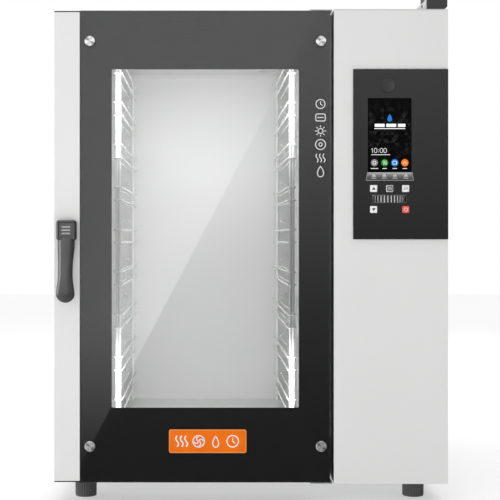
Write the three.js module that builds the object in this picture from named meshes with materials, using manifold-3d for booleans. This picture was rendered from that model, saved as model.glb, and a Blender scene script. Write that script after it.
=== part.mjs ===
// Countertop combi steamer oven, nine tray levels, door hinged on the right beside the control column.
// Millimetres, +Z up. The oven faces -Y and the origin is on the floor, in the middle of its outline.
import * as THREE from 'three';
import { mergeVertices } from 'three/addons/utils/BufferGeometryUtils.js';
import Module from 'manifold-3d';

const wasm = await Module();
wasm.setup();

// Driving dimensions.
const HALF_WIDTH = 394;
const FRONT_Y = -380;
const BACK_Y = 400;
const FITTING_Y = 424.6;
const FOOT_HEIGHT = 40;
const FOOT_RADIUS = 22;
const FOOT_X = 338;
const FOOT_Y = [-290, 350];
const BODY_TOP = 990;
const SHEET = 1.5;
const GAP = 0.3;
const PLINTH_TOP = 58;

const COLUMN_LEFT = 166;
const COLUMN_RETURN_Y = -340;
const FRAME_FRONT_Y = -316;
const FRAME_BACK_Y = -300;

const DOOR_LEFT = -HALF_WIDTH;
const GLASS_LEFT = -341.5;
const DOOR_RIGHT = 161.5;
const DOOR_BOTTOM = 43;
const DOOR_TOP = 987;
const DOOR_BACK_Y = -320.3;
const GLASS_THICKNESS = 5;
const WINDOW = { x0: -279, x1: 96, z0: 192, z1: 870 };
const STRIP_RIGHT = -342.5;
const RAIL_HEIGHT = 2.7;
const HINGE = { x: 135.5, y: -368, pin: 3 };
const LATCH = { x: -367.7, z: 548.4 };
const SCREW_X = [-322.2, 140.4];
const SCREW_Z = [115.4, 926];
const BADGE = { x0: -164, x1: -9.2, z0: 102.4, z1: 149.2 };

const OPENING = { x0: -300, x1: 114, z0: 134, z1: 928 };
const LINER = { x0: -312, x1: 217, y1: 322, z0: 122, z1: 940, wall: 2, corner: 20 };
const RACK_X = [-274, 90];
const RACK_POST_Y = [-250, 296];
const RACK_LEVELS = 9;
const RACK_FIRST_Z = 166;
const RACK_PITCH = 89;
const RACK_PAIR = 27.3;
const RACK_TOP = 922;
const HAIRPIN_SPREAD = 7.5;
const HAIRPIN_REACH = 4.5;
const WIRE_RADIUS = 2;
const POST_RADIUS = 3.5;

const BAFFLE_X = 120;
const FAN_Y = 10;
const FAN_Z = [330, 730];
const FAN_RADIUS = 95;
const BLADES = 10;
const HEATER_RADIUS = 122;
const VENT = { x: 60, y: 200, outer: 25, inner: 23, top: 1030, flapZ: 1008 };
const DRAIN = { x: -45, y: 10, outer: 16, inner: 13, z: 76 };
const STEAM = { x: 300, y: 150, z: 530, outer: 4, inner: 2.5 };

const PANEL = { x0: 204, x1: 394, z0: 529.4, z1: 869.6, y0: -383.4, y1: -380.4, corner: 0.8 };
const SCREEN = { x0: 233.8, x1: 320, z0: 664, z1: 811 };
const KEY_SIZE = 14.4;
const KEY_FRONT_Y = -386.4;
const KEY_BACK_Y = -372;
const KEYS = {
  key_up: [244.8, 630.8, 0xf0f0f0],
  key_home: [276.8, 630.8, 0xc9c9c9],
  key_program: [308.8, 630.8, 0xf0f0f0],
  key_down: [244.8, 589, 0xf0f0f0],
  key_power: [309, 589, 0xe85546],
};
const WHEEL = { x: 276.5, y: -349.9, z0: 602.8, z1: 617.4, radius: 36, ribs: 32 };
const WHEEL_SLOT = { x0: 242, x1: 311, z0: 602, z1: 618.2 };
const PORT = { x: 274, z: 835.8, radius: 14, socketZ: 828.5 };
const INLET_Z = 160;
const GLAND = { x: 340, z: 110 };
const LEVER_HEAD = { half: 20, low: 21.5, high: 19.6 };

const finishes = {
  satinSteel: [0xd8d8d6, 0.38, 0.9],
  cavitySteel: [0xd0d0ce, 0.3, 0.95],
  zincSteel: [0xb4b8bb, 0.45, 0.9],
  blackPaint: [0x1d1d1e, 0.45, 0.2],
  clearGlass: [0x5c5f60, 0.05, 0.0],
  blackPanel: [0x2b2b2c, 0.2, 0.0],
  blackPlastic: [0x202021, 0.5, 0.0],
  greyPlastic: [0x505052, 0.5, 0.0],
  rubber: [0x171717, 0.8, 0.0],
  orange: [0xf08538, 0.35, 0.0],
  screen: [0x050506, 0.15, 0.0],
  circuit: [0x1f5a36, 0.5, 0.1],
  brass: [0xb08d4c, 0.35, 0.9],
  wool: [0xb9ad8c, 0.95, 0.0],
};

const oven = new THREE.Group();
const door = new THREE.Group();
const column = new THREE.Group();
const cavity = new THREE.Group();
oven.add(door, column, cavity);

function finish(name) {
  const [color, roughness, metalness] = finishes[name];
  return new THREE.MeshStandardMaterial({ color, roughness, metalness });
}

// Turns a closed three.js geometry into a solid for joining and cutting.
function solid(geometry) {
  const bare = new THREE.BufferGeometry();
  bare.setAttribute('position', geometry.getAttribute('position'));
  bare.setIndex(geometry.index);
  const merged = mergeVertices(bare, 1e-3);
  const corners = merged.index.array;
  const triangles = [];
  for (let i = 0; i < corners.length; i += 3) {
    const [a, b, c] = [corners[i], corners[i + 1], corners[i + 2]];
    if (a !== b && b !== c && c !== a) triangles.push(a, b, c);
  }
  const vertProperties = new Float32Array(merged.getAttribute('position').array);
  const triVerts = new Uint32Array(triangles);
  return new wasm.Manifold(new wasm.Mesh({ numProp: 3, vertProperties, triVerts }));
}

function addPiece(group, name, body, material, position = [0, 0, 0]) {
  const mesh = body.getMesh();
  const geometry = new THREE.BufferGeometry();
  geometry.setAttribute('position', new THREE.BufferAttribute(mesh.vertProperties.slice(), 3));
  geometry.setIndex(new THREE.BufferAttribute(mesh.triVerts.slice(), 1));
  geometry.computeVertexNormals();
  const piece = new THREE.Mesh(geometry, material);
  piece.name = name;
  piece.position.set(...position);
  group.add(piece);
}

function joinAll(bodies) {
  return bodies.reduce((sum, body) => sum.add(body));
}

function cutAll(body, tools) {
  return tools.reduce((rest, tool) => rest.subtract(tool), body);
}

function box(x0, x1, y0, y1, z0, z1) {
  const geometry = new THREE.BoxGeometry(x1 - x0, y1 - y0, z1 - z0);
  return solid(geometry.translate((x0 + x1) / 2, (y0 + y1) / 2, (z0 + z1) / 2));
}

// A round bar between two points.
function rod(radius, from, to, sides = 12) {
  const start = new THREE.Vector3(...from);
  const end = new THREE.Vector3(...to);
  const geometry = new THREE.CylinderGeometry(radius, radius, start.distanceTo(end), sides);
  const direction = end.clone().sub(start).normalize();
  geometry.applyQuaternion(new THREE.Quaternion().setFromUnitVectors(new THREE.Vector3(0, 1, 0), direction));
  const middle = start.add(end).multiplyScalar(0.5);
  return solid(geometry.translate(middle.x, middle.y, middle.z));
}

function outline(points) {
  return new THREE.Shape(points.map(([x, y]) => new THREE.Vector2(x, y)));
}

// Extrudes an outline drawn in X and Y from z0 up to z1.
function risen(shape, z0, z1, curveSegments = 2) {
  const geometry = new THREE.ExtrudeGeometry(shape, { depth: z1 - z0, bevelEnabled: false, curveSegments });
  return solid(geometry.translate(0, 0, z0));
}

// Extrudes an outline drawn in X and Z from the front y0 back to y1.
function deepened(shape, y0, y1, curveSegments = 2) {
  const geometry = new THREE.ExtrudeGeometry(shape, { depth: y1 - y0, bevelEnabled: false, curveSegments });
  return solid(geometry.rotateX(Math.PI / 2).translate(0, y1, 0));
}

function roundedRectangle({ x0, x1, z0, z1 }, radius, grow = 0) {
  const [left, right, low, high] = [x0 - grow, x1 + grow, z0 - grow, z1 + grow];
  const shape = new THREE.Shape();
  shape.moveTo(left + radius, low);
  shape.lineTo(right - radius, low);
  shape.absarc(right - radius, low + radius, radius, -Math.PI / 2, 0);
  shape.lineTo(right, high - radius);
  shape.absarc(right - radius, high - radius, radius, 0, Math.PI / 2);
  shape.lineTo(left + radius, high);
  shape.absarc(left + radius, high - radius, radius, Math.PI / 2, Math.PI);
  shape.lineTo(left, low + radius);
  shape.absarc(left + radius, low + radius, radius, Math.PI, Math.PI * 1.5);
  return shape;
}

function circleShape(radius, sides) {
  const steps = Array.from({ length: sides }, (_, i) => (i / sides) * 2 * Math.PI);
  return outline(steps.map((angle) => [radius * Math.cos(angle), radius * Math.sin(angle)]));
}

// A pipe with open ends along a smooth curve through the points.
function pipe(points, outer, inner, steps = 20, sides = 12) {
  const stations = points.map((p) => new THREE.Vector3(...p));
  const extrudePath = new THREE.CatmullRomCurve3(stations, false, 'centripetal');
  const section = circleShape(outer, sides);
  section.holes.push(circleShape(inner, sides));
  return solid(new THREE.ExtrudeGeometry(section, { steps, extrudePath, bevelEnabled: false }));
}

// A turned body around the X axis through (y, z); each profile point is [distance along X, radius].
function turnedX(profile, y, z, sides = 24) {
  const geometry = new THREE.LatheGeometry(profile.map(([x, r]) => new THREE.Vector2(r, x)), sides);
  return solid(geometry.rotateZ(-Math.PI / 2).translate(0, y, z));
}

function addFeet() {
  const profile = [[0, 0], [FOOT_RADIUS - 1, 0], [FOOT_RADIUS, 2], [FOOT_RADIUS, 30], [15, 34],
    [15, FOOT_HEIGHT - GAP], [0, FOOT_HEIGHT - GAP]];
  const geometry = new THREE.LatheGeometry(profile.map(([r, z]) => new THREE.Vector2(r, z)), 18);
  const body = solid(geometry.rotateX(Math.PI / 2));
  for (const [row, y] of [['front', FOOT_Y[0]], ['rear', FOOT_Y[1]]]) {
    for (const [side, x] of [['left', -FOOT_X], ['right', FOOT_X]]) {
      addPiece(oven, `foot_${row}_${side}`, body, finish('greyPlastic'), [x, y, 0]);
    }
  }
}

function addPlinth() {
  const plan = (inset) => outline([
    [-HALF_WIDTH + inset, -299.7 + inset], [COLUMN_LEFT + 2 + inset, -299.7 + inset],
    [COLUMN_LEFT + 2 + inset, FRONT_Y + 2 + inset], [HALF_WIDTH - 2 - inset, FRONT_Y + 2 + inset],
    [HALF_WIDTH - 2 - inset, COLUMN_RETURN_Y + GAP + inset],
    [HALF_WIDTH - inset, COLUMN_RETURN_Y + GAP + inset],
    [HALF_WIDTH - inset, BACK_Y - 2 - inset], [-HALF_WIDTH + inset, BACK_Y - 2 - inset],
  ]);
  const tray = risen(plan(0), FOOT_HEIGHT, PLINTH_TOP);
  const hollow = risen(plan(3), FOOT_HEIGHT + 2, PLINTH_TOP + 1);
  addPiece(oven, 'base_frame', tray.subtract(hollow), finish('zincSteel'));
}

// A side sheet with its front and rear edges folded inwards.
function sidePanel(side, y0, y1) {
  const x = side * HALF_WIDTH;
  const inner = x - side * SHEET;
  const lip = x - side * 14;
  const points = [[x, y0], [x, y1], [lip, y1], [lip, y1 - SHEET], [inner, y1 - SHEET],
    [inner, y0 + SHEET], [lip, y0 + SHEET], [lip, y0]];
  return risen(outline(side > 0 ? points : points.reverse()), PLINTH_TOP + GAP, BODY_TOP - 1.8);
}

function addCasing() {
  addPiece(oven, 'left_side_panel', sidePanel(-1, FRAME_BACK_Y, BACK_Y - 2), finish('satinSteel'));
  const louvres = [];
  for (const y of [60, 230]) {
    for (let z = 150; z <= 330; z += 22) {
      louvres.push(box(HALF_WIDTH - 3, HALF_WIDTH + 1, y, y + 110, z, z + 6));
    }
  }
  const right = cutAll(sidePanel(1, COLUMN_RETURN_Y + GAP, BACK_Y - 2), louvres);
  addPiece(oven, 'right_side_panel', right, finish('satinSteel'));

  const backHoles = [rod(17, [DRAIN.x, 390, DRAIN.z], [DRAIN.x, 410, DRAIN.z]),
    rod(12, [STEAM.x, 390, INLET_Z], [STEAM.x, 410, INLET_Z]),
    rod(10, [GLAND.x, 390, GLAND.z], [GLAND.x, 410, GLAND.z])];
  for (let z = 640; z <= 820; z += 22) backHoles.push(box(250, 360, 390, 410, z, z + 6));
  const back = box(-HALF_WIDTH, HALF_WIDTH, BACK_Y - 1.7, BACK_Y, FOOT_HEIGHT, BODY_TOP - 1.8);
  addPiece(oven, 'back_panel', cutAll(back, backHoles), finish('zincSteel'));

  const plan = outline([[-HALF_WIDTH, FRAME_FRONT_Y], [COLUMN_LEFT, FRAME_FRONT_Y], [COLUMN_LEFT, FRONT_Y],
    [HALF_WIDTH, FRONT_Y], [HALF_WIDTH, BACK_Y], [-HALF_WIDTH, BACK_Y]]);
  const ventHole = rod(VENT.outer + 1, [VENT.x, VENT.y, 980], [VENT.x, VENT.y, 1000], 24);
  const airSlots = [0, 1, 2].map((i) => box(362, 384, -360 + i * 18, -352 + i * 18, 980, 1000));
  const top = cutAll(risen(plan, BODY_TOP - SHEET, BODY_TOP), [ventHole, ...airSlots]);
  addPiece(oven, 'top_panel', top, finish('satinSteel'));
}

// Black housing where the cooling air of the control column leaves, and the steel gusset that holds it.
function addAirOutlet() {
  const [x0, x1, z0, z1] = [353, HALF_WIDTH, BODY_TOP + GAP, 1036];
  const profile = outline([[x0, z0], [x1 - 6, z0], [x1, z0 + 6], [x1, z1 - 3], [x1 - 3, z1], [x0, z1]]);
  const inside = box(x0 + 3, x1 - 4, -371, -280, z0 - 1, z1 - 3);
  addPiece(oven, 'air_outlet_box', deepened(profile, -375, -295).subtract(inside), finish('blackPlastic'));
  const gusset = outline([
    [x0 - 22, z0], [x0 - GAP, z0], [x0 - GAP, z0 + 36], [x0 - 4, z0 + 36], [x0 - 4, z0 + 18]]);
  const slot = box(x0 - 11, x0 - 8, -380, -360, z0 + 3, z0 + 9);
  addPiece(oven, 'air_outlet_bracket', deepened(gusset, -372, -369).subtract(slot), finish('satinSteel'));
}

function addCavity() {
  const inside = { x0: LINER.x0 + LINER.wall, x1: LINER.x1 - LINER.wall, z0: LINER.z0 + LINER.wall,
    z1: LINER.z1 - LINER.wall };
  const shell = deepened(roundedRectangle(LINER, LINER.corner), FRAME_BACK_Y, LINER.y1);
  const room = deepened(roundedRectangle(inside, LINER.corner - 2), FRAME_BACK_Y - 1, LINER.y1 - LINER.wall);
  const holes = FAN_Z.map((z) => rod(9, [205, FAN_Y, z], [225, FAN_Y, z]));
  for (const z of FAN_Z) {
    for (const y of [-14, 14]) {
      holes.push(rod(5.5, [205, FAN_Y + y, z - HEATER_RADIUS], [225, FAN_Y + y, z - HEATER_RADIUS], 8));
    }
  }
  holes.push(rod(6, [205, STEAM.y, STEAM.z], [225, STEAM.y, STEAM.z], 8));
  holes.push(rod(VENT.inner, [VENT.x, VENT.y, 930], [VENT.x, VENT.y, 950], 24));
  for (const x of [-6, 6]) {
    for (const y of [-6, 6]) {
      holes.push(rod(4, [DRAIN.x + x, DRAIN.y + y, 115], [DRAIN.x + x, DRAIN.y + y, 130], 8));
    }
  }
  addPiece(cavity, 'cavity_liner', cutAll(shell.subtract(room), holes), finish('cavitySteel'));

  const plate = { x0: -HALF_WIDTH, x1: 163, z0: 44, z1: BODY_TOP - 2 };
  const pocket = { x0: LATCH.x - 22, x1: LATCH.x + 22, z0: LATCH.z - 24, z1: LATCH.z + 24 };
  const face = cutAll(deepened(roundedRectangle(plate, 2), FRAME_FRONT_Y, FRAME_BACK_Y - GAP), [
    deepened(roundedRectangle(OPENING, 15), FRAME_FRONT_Y - 1, FRAME_BACK_Y),
    deepened(roundedRectangle(pocket, 4), FRAME_FRONT_Y - 1, FRAME_BACK_Y)]);
  addPiece(cavity, 'cavity_front_frame', face, finish('blackPaint'));

  const gasket = deepened(roundedRectangle(OPENING, 23, 10.5), -319.9, FRAME_FRONT_Y - GAP)
    .subtract(deepened(roundedRectangle(OPENING, 16, 1.3), -330, FRAME_FRONT_Y));
  addPiece(cavity, 'door_gasket', gasket, finish('rubber'));

  const wool = cutAll(box(-350, 214, -298, 350, 94, 966), [
    box(-312.6, 300, -310, 322.6, 121.4, 940.6),
    box(DRAIN.x - 20, DRAIN.x + 20, DRAIN.y - 20, DRAIN.y + 60, 90, 130),
    rod(VENT.outer + 2, [VENT.x, VENT.y, 930], [VENT.x, VENT.y, 980], 24)]);
  addPiece(cavity, 'insulation', wool, finish('wool'));
}

// A side rack: two posts, and at each level a lower and an upper hairpin of wire that clasp both posts.
// A tray's rim lies on the inner wire of the lower one and can't tip past the upper one.
function addRack(name, postX) {
  const [front, rear] = [RACK_POST_Y[0] - HAIRPIN_REACH, RACK_POST_Y[1] + HAIRPIN_REACH];
  const [outer, inner] = [postX - HAIRPIN_SPREAD, postX + HAIRPIN_SPREAD];
  const low = LINER.z0 + LINER.wall + GAP;
  const bars = RACK_POST_Y.map((y) => rod(POST_RADIUS, [postX, y, low], [postX, y, RACK_TOP], 8));
  for (let level = 0; level < RACK_LEVELS; level += 1) {
    const rest = RACK_FIRST_Z + level * RACK_PITCH;
    for (const z of [rest, rest + RACK_PAIR]) {
      for (const x of [outer, inner]) bars.push(rod(WIRE_RADIUS, [x, front - 1, z], [x, rear + 1, z], 6));
      for (const y of [front, rear]) bars.push(rod(WIRE_RADIUS - 0.3, [outer, y, z], [inner, y, z], 6));
    }
  }
  addPiece(cavity, name, joinAll(bars), finish('cavitySteel'));
}

function addBaffle() {
  const windows = [];
  for (const z of FAN_Z) {
    for (const [radius, count] of [[60, 9], [30, 5]]) {
      for (let i = 0; i < count; i += 1) {
        const angle = (i / count) * 2 * Math.PI;
        const [y, height] = [FAN_Y + radius * Math.cos(angle), z + radius * Math.sin(angle)];
        windows.push(rod(13, [BAFFLE_X - 2, y, height], [BAFFLE_X + 4, y, height], 8));
      }
    }
  }
  const sheet = box(BAFFLE_X, BAFFLE_X + 2, -262, 286, 140, 926);
  const spacers = [[-240, 160], [-240, 900], [264, 160], [264, 900]].map(([y, z]) => (
    rod(5, [BAFFLE_X + 1, y, z], [LINER.x1 - LINER.wall - GAP, y, z], 8)));
  addPiece(cavity, 'fan_baffle', joinAll([cutAll(sheet, windows), ...spacers]), finish('cavitySteel'));
}

// A centrifugal wheel on its shaft, turning about the X axis; built round the origin of its own group.
function fanWheel() {
  const disc = turnedX([[186, 0], [186, FAN_RADIUS], [188, FAN_RADIUS], [188, 0]], 0, 0, 24);
  const ring = turnedX([[140, 80], [140, FAN_RADIUS], [142, FAN_RADIUS], [142, 80], [140, 80]], 0, 0, 24);
  const hub = turnedX([[160, 0], [160, 14], [186.5, 20], [186.5, 0]], 0, 0, 12);
  const shaft = rod(6, [155, 0, 0], [240, 0, 0], 12);
  const blades = [];
  for (let i = 0; i < BLADES; i += 1) {
    const blade = new THREE.BoxGeometry(46, 30, 2);
    blade.rotateX(0.6).translate(163.5, 76, 0).rotateX((i / BLADES) * 2 * Math.PI);
    blades.push(solid(blade));
  }
  return joinAll([disc, ring, hub, shaft, ...blades]);
}

function addFans() {
  const wheel = fanWheel();
  const profile = [[219, 9], [219, 50], [223, 50], [223, 46], [330, 46], [334, 40], [334, 0], [242, 0],
    [242, 9], [219, 9]];
  const motor = turnedX(profile, 0, 0, 16);
  const motorCan = joinAll([motor, box(250, 300, -14, 14, 44, 62)]);
  ['lower', 'upper'].forEach((place, i) => {
    addPiece(cavity, `fan_wheel_${place}`, wheel, finish('cavitySteel'), [0, FAN_Y, FAN_Z[i]]);
    addPiece(cavity, `fan_motor_${place}`, motorCan, finish('zincSteel'), [0, FAN_Y, FAN_Z[i]]);
    addPiece(cavity, `heater_${place}`, heater(), finish('zincSteel'), [0, FAN_Y, FAN_Z[i]]);
  });
}

// Two turns of heating tube round the fan, held by a clip, with both cold ends led out through the wall.
function heater() {
  const turns = [165, 185].map((x) => {
    const ring = new THREE.TorusGeometry(HEATER_RADIUS, 4, 6, 24);
    return solid(ring.rotateY(Math.PI / 2).translate(x, 0, 0));
  });
  const ends = [[165, -14], [185, 14]].map(([x, y]) => (
    rod(4, [x, y, -HEATER_RADIUS], [232, y, -HEATER_RADIUS], 8)));
  const clip = box(162, 188, -5, 5, HEATER_RADIUS - 3, HEATER_RADIUS + 3);
  return joinAll([...turns, ...ends, clip]);
}

function addPlumbing() {
  const drainRoute = [[DRAIN.x, DRAIN.y, LINER.z0 - GAP], [DRAIN.x, DRAIN.y, 108], [DRAIN.x, DRAIN.y + 5, 90],
    [DRAIN.x, DRAIN.y + 32, DRAIN.z], [DRAIN.x, DRAIN.y + 60, DRAIN.z], [DRAIN.x, FITTING_Y, DRAIN.z]];
  addPiece(oven, 'drain_pipe', pipe(drainRoute, DRAIN.outer, DRAIN.inner, 10, 10), finish('zincSteel'));

  const steamRoute = [[STEAM.x, 348.7, INLET_Z], [STEAM.x, 220, INLET_Z], [STEAM.x, 160, INLET_Z + 20],
    [STEAM.x, STEAM.y, 240], [STEAM.x, STEAM.y, 480], [STEAM.x - 14, STEAM.y, 522],
    [STEAM.x - 40, STEAM.y, STEAM.z], [230, STEAM.y, STEAM.z], [150, STEAM.y, STEAM.z]];
  addPiece(oven, 'steam_pipe', pipe(steamRoute, STEAM.outer, STEAM.inner, 18, 6), finish('zincSteel'));

  const valve = joinAll([box(STEAM.x - 16, STEAM.x + 16, 349, 382, INLET_Z - 16, INLET_Z + 16),
    rod(13, [STEAM.x, 365, INLET_Z + 15], [STEAM.x, 365, INLET_Z + 55], 16),
    rod(10.5, [STEAM.x, 381, INLET_Z], [STEAM.x, FITTING_Y, INLET_Z], 16)]);
  const bore = rod(6, [STEAM.x, 395, INLET_Z], [STEAM.x, FITTING_Y + 1, INLET_Z], 12);
  addPiece(oven, 'water_valve', valve.subtract(bore), finish('brass'));

  const gland = joinAll([rod(15, [GLAND.x, BACK_Y + GAP, GLAND.z], [GLAND.x, BACK_Y + 8, GLAND.z], 6),
    rod(9.5, [GLAND.x, 385, GLAND.z], [GLAND.x, FITTING_Y - 5, GLAND.z], 16)]);
  const glandBore = rod(5.5, [GLAND.x, 380, GLAND.z], [GLAND.x, FITTING_Y, GLAND.z], 12);
  addPiece(oven, 'cable_gland', gland.subtract(glandBore), finish('blackPlastic'));
}

function addVent() {
  const chimney = pipe([[VENT.x, VENT.y, LINER.z1 + GAP], [VENT.x, VENT.y, 985], [VENT.x, VENT.y, VENT.top]],
    VENT.outer, VENT.inner, 1, 20);
  const spindleHole = rod(3.6, [VENT.x - 40, VENT.y, VENT.flapZ], [VENT.x + 40, VENT.y, VENT.flapZ], 12);
  addPiece(oven, 'vent_pipe', chimney.subtract(spindleHole), finish('satinSteel'));

  const disc = rod(VENT.inner - 1.5, [VENT.x, VENT.y, VENT.flapZ - 1], [VENT.x, VENT.y, VENT.flapZ + 1], 24);
  const spindle = rod(3, [VENT.x - 27, VENT.y, VENT.flapZ], [VENT.x + 48, VENT.y, VENT.flapZ], 12);
  addPiece(oven, 'vent_flap', disc.add(spindle), finish('satinSteel'));

  const motor = joinAll([box(VENT.x + 34, VENT.x + 86, 176, 224, 996, 1026),
    box(VENT.x + 28, VENT.x + 92, 184, 216, BODY_TOP + GAP, 997)]);
  const socket = rod(3.6, [VENT.x + 30, VENT.y, VENT.flapZ], [VENT.x + 50, VENT.y, VENT.flapZ], 12);
  addPiece(oven, 'vent_motor', motor.subtract(socket), finish('greyPlastic'));
}

function addColumn() {
  const plan = outline([[COLUMN_LEFT, FRONT_Y], [HALF_WIDTH, FRONT_Y], [HALF_WIDTH, COLUMN_RETURN_Y],
    [HALF_WIDTH - SHEET, COLUMN_RETURN_Y], [HALF_WIDTH - SHEET, FRONT_Y + SHEET],
    [COLUMN_LEFT + SHEET, FRONT_Y + SHEET], [COLUMN_LEFT + SHEET, FRAME_BACK_Y], [COLUMN_LEFT, FRAME_BACK_Y]]);
  const hole = { x0: 214, x1: 384, z0: 540, z1: 860 };
  const front = risen(plan, FOOT_HEIGHT, BODY_TOP - 1.8)
    .subtract(deepened(roundedRectangle(hole, 4), FRONT_Y - 1, FRONT_Y + 3));
  addPiece(column, 'column_front', front, finish('satinSteel'));

  const reach = KEY_SIZE / 2 + 0.6;
  const cuts = Object.values(KEYS).map(([x, z]) => box(x - reach, x + reach, -390, -370, z - reach, z + reach));
  cuts.push(box(WHEEL_SLOT.x0, WHEEL_SLOT.x1, -390, -370, WHEEL_SLOT.z0, WHEEL_SLOT.z1));
  cuts.push(box(SCREEN.x0 - 0.6, SCREEN.x1 + 0.6, -390, -370, SCREEN.z0 - 0.6, SCREEN.z1 + 0.6));
  cuts.push(box(PORT.x - 7.6, PORT.x + 7.6, -390, -370, PORT.socketZ - 4.6, PORT.socketZ + 4.6));
  const panel = cutAll(deepened(roundedRectangle(PANEL, PANEL.corner), PANEL.y0, PANEL.y1), cuts);
  addPiece(column, 'control_panel', panel, finish('blackPanel'));

  addPiece(column, 'display', box(SCREEN.x0, SCREEN.x1, -383.2, -368, SCREEN.z0, SCREEN.z1), finish('screen'));

  const ledge = outline([[229.2, 646.6], [324.4, 646.6], [320.8, 663], [233, 663]]);
  const slope = solid(new THREE.ExtrudeGeometry(outline([[-383.7, 663], [-386.2, 647.6], [-383.7, 646.6]]),
    { depth: 110, bevelEnabled: false }).applyMatrix4(new THREE.Matrix4().set(
    0, 0, 1, 222, 1, 0, 0, 0, 0, 1, 0, 0, 0, 0, 0, 1)));
  addPiece(column, 'soft_key_ledge', deepened(ledge, -390, -380).intersect(slope), finish('greyPlastic'));

  const circuitBoard = joinAll([box(216, 382, -360, -358.4, 650, 856), box(236, 318, -366, -359.9, 672, 800),
    box(330, 372, -359, -350, 700, 740), box(330, 360, -359, -346, 780, 800)]);
  addPiece(column, 'control_board', circuitBoard, finish('circuit'));
  const powerBoard = joinAll([box(352, 353.6, -260, -40, 420, 780), box(353.5, 378, -240, -200, 640, 740),
    box(353.5, 374, -170, -110, 470, 530), box(353.5, 374, -170, -110, 560, 620),
    box(340, 352.5, -120, -60, 660, 760)]);
  addPiece(column, 'power_board', powerBoard, finish('circuit'));

  const shell = box(PORT.x - 7, PORT.x + 7, -383, -366.6, PORT.socketZ - 4, PORT.socketZ + 4)
    .subtract(box(PORT.x - 6, PORT.x + 6, -390, -369, PORT.socketZ - 3, PORT.socketZ + 3));
  addPiece(column, 'port_socket', shell, finish('zincSteel'));
  const cover = rod(PORT.radius, [PORT.x, -387.6, PORT.z], [PORT.x, -383.8, PORT.z], 20);
  addPiece(column, 'port_cover', cover, finish('greyPlastic'));
}

function addKeys() {
  const half = KEY_SIZE / 2;
  const square = roundedRectangle({ x0: -half, x1: half, z0: -half, z1: half }, 1.6);
  const cap = deepened(square, KEY_FRONT_Y, KEY_BACK_Y, 1);
  for (const [name, [x, z, color]] of Object.entries(KEYS)) {
    const material = new THREE.MeshStandardMaterial({ color, roughness: 0.4, metalness: 0 });
    addPiece(column, name, cap, material, [x, 0, z]);
  }
}

// The ribbed drum turns about an upright axis and shows through a slot in the control panel.
function addScrollWheel() {
  const points = [];
  for (let i = 0; i < WHEEL.ribs * 4; i += 1) {
    const angle = (i / (WHEEL.ribs * 4)) * 2 * Math.PI;
    const radius = i % 4 < 2 ? WHEEL.radius : WHEEL.radius - 1.6;
    points.push([radius * Math.cos(angle), radius * Math.sin(angle)]);
  }
  const drum = risen(outline(points), WHEEL.z0, WHEEL.z1);
  const axle = rod(3, [0, 0, WHEEL.z0 - 7], [0, 0, WHEEL.z1 + 7], 12);
  addPiece(column, 'scroll_wheel', drum.add(axle), finish('greyPlastic'), [WHEEL.x, WHEEL.y, 0]);
}

function addDoorGlass() {
  const holes = [];
  for (const x of SCREW_X) {
    for (const z of SCREW_Z) holes.push(rod(6, [x, -390, z], [x, -370, z], 16));
  }
  const pane = { x0: GLASS_LEFT, x1: DOOR_RIGHT, z0: DOOR_BOTTOM, z1: DOOR_TOP };
  const outer = cutAll(deepened(roundedRectangle(pane, 1.5), FRONT_Y, FRONT_Y + GLASS_THICKNESS, 2), holes);
  addPiece(door, 'door_outer_glass', outer, finish('clearGlass'));
  const inner = { x0: -312, x1: 126, z0: 128, z1: 934 };
  addPiece(door, 'door_inner_glass', deepened(roundedRectangle(inner, 6), -327.6, -323), finish('clearGlass'));

  const profile = [[0, 0], [5.5, 0], [5.5, 5.3], [10.5, 5.3], [10.5, 6.2], [3, 8.8], [0, 8.8]];
  const lathe = new THREE.LatheGeometry(profile.map(([r, y]) => new THREE.Vector2(r, y)), 16);
  const screw = solid(lathe.rotateX(Math.PI));
  const names = [['lower_left', 'upper_left'], ['lower_right', 'upper_right']];
  SCREW_X.forEach((x, i) => SCREW_Z.forEach((z, k) => {
    addPiece(door, `glass_screw_${names[i][k]}`, screw, finish('satinSteel'), [x, FRONT_Y + 5, z]);
  }));
  addPiece(door, 'door_badge', deepened(roundedRectangle(BADGE, 4), -382, FRONT_Y - GAP), finish('orange'));
}

// A welded sheet case with a window in front, a wider one behind, and rails that reach over the handle strip.
function addDoorFrame() {
  const [front, back, left, right] = [FRONT_Y + GLASS_THICKNESS + GAP, DOOR_BACK_Y, GLASS_LEFT - 0.5, 158];
  const outer = outline([[left, front], [right, front], [right, back - 12], [right - 12, back], [left, back]]);
  const inner = outline([[left + 3, front + 3], [right - 3, front + 3], [right - 3, back - 13],
    [right - 13.4, back - 2.4], [left + 3, back - 2.4]]);
  const rear = { x0: -296, x1: 108, z0: 144, z1: 918 };
  const blocks = [[DOOR_TOP - 37, DOOR_TOP], [DOOR_BOTTOM, DOOR_BOTTOM + 37]].map(([z0, z1]) => (
    box(118, right - 1, front + 1, -350, z0, z1)));
  const rails = [DOOR_TOP - RAIL_HEIGHT, DOOR_BOTTOM].map((z) => (
    box(DOOR_LEFT, left + 1, front, DOOR_BACK_Y - 1, z, z + RAIL_HEIGHT)));
  const shell = risen(outer, DOOR_BOTTOM, DOOR_TOP).subtract(risen(inner, DOOR_BOTTOM + 3, DOOR_TOP - 3));
  const body = joinAll([shell, ...blocks, ...rails]);
  const pins = [[DOOR_TOP - 27, DOOR_TOP + 5], [DOOR_BOTTOM - 5, DOOR_BOTTOM + 27]].map(([z0, z1]) => (
    rod(HINGE.pin + 0.5, [HINGE.x, HINGE.y, z0], [HINGE.x, HINGE.y, z1])));
  const frame = cutAll(body, [deepened(roundedRectangle(WINDOW, 3), front - 1, front + 5),
    deepened(roundedRectangle(rear, 8), back - 5, back + 1), ...pins]);
  addPiece(door, 'door_frame', frame, finish('blackPaint'));
  addPiece(door, 'door_light_bar', box(-304, -292, -368, -342, 230, 830), finish('greyPlastic'));
}

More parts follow.
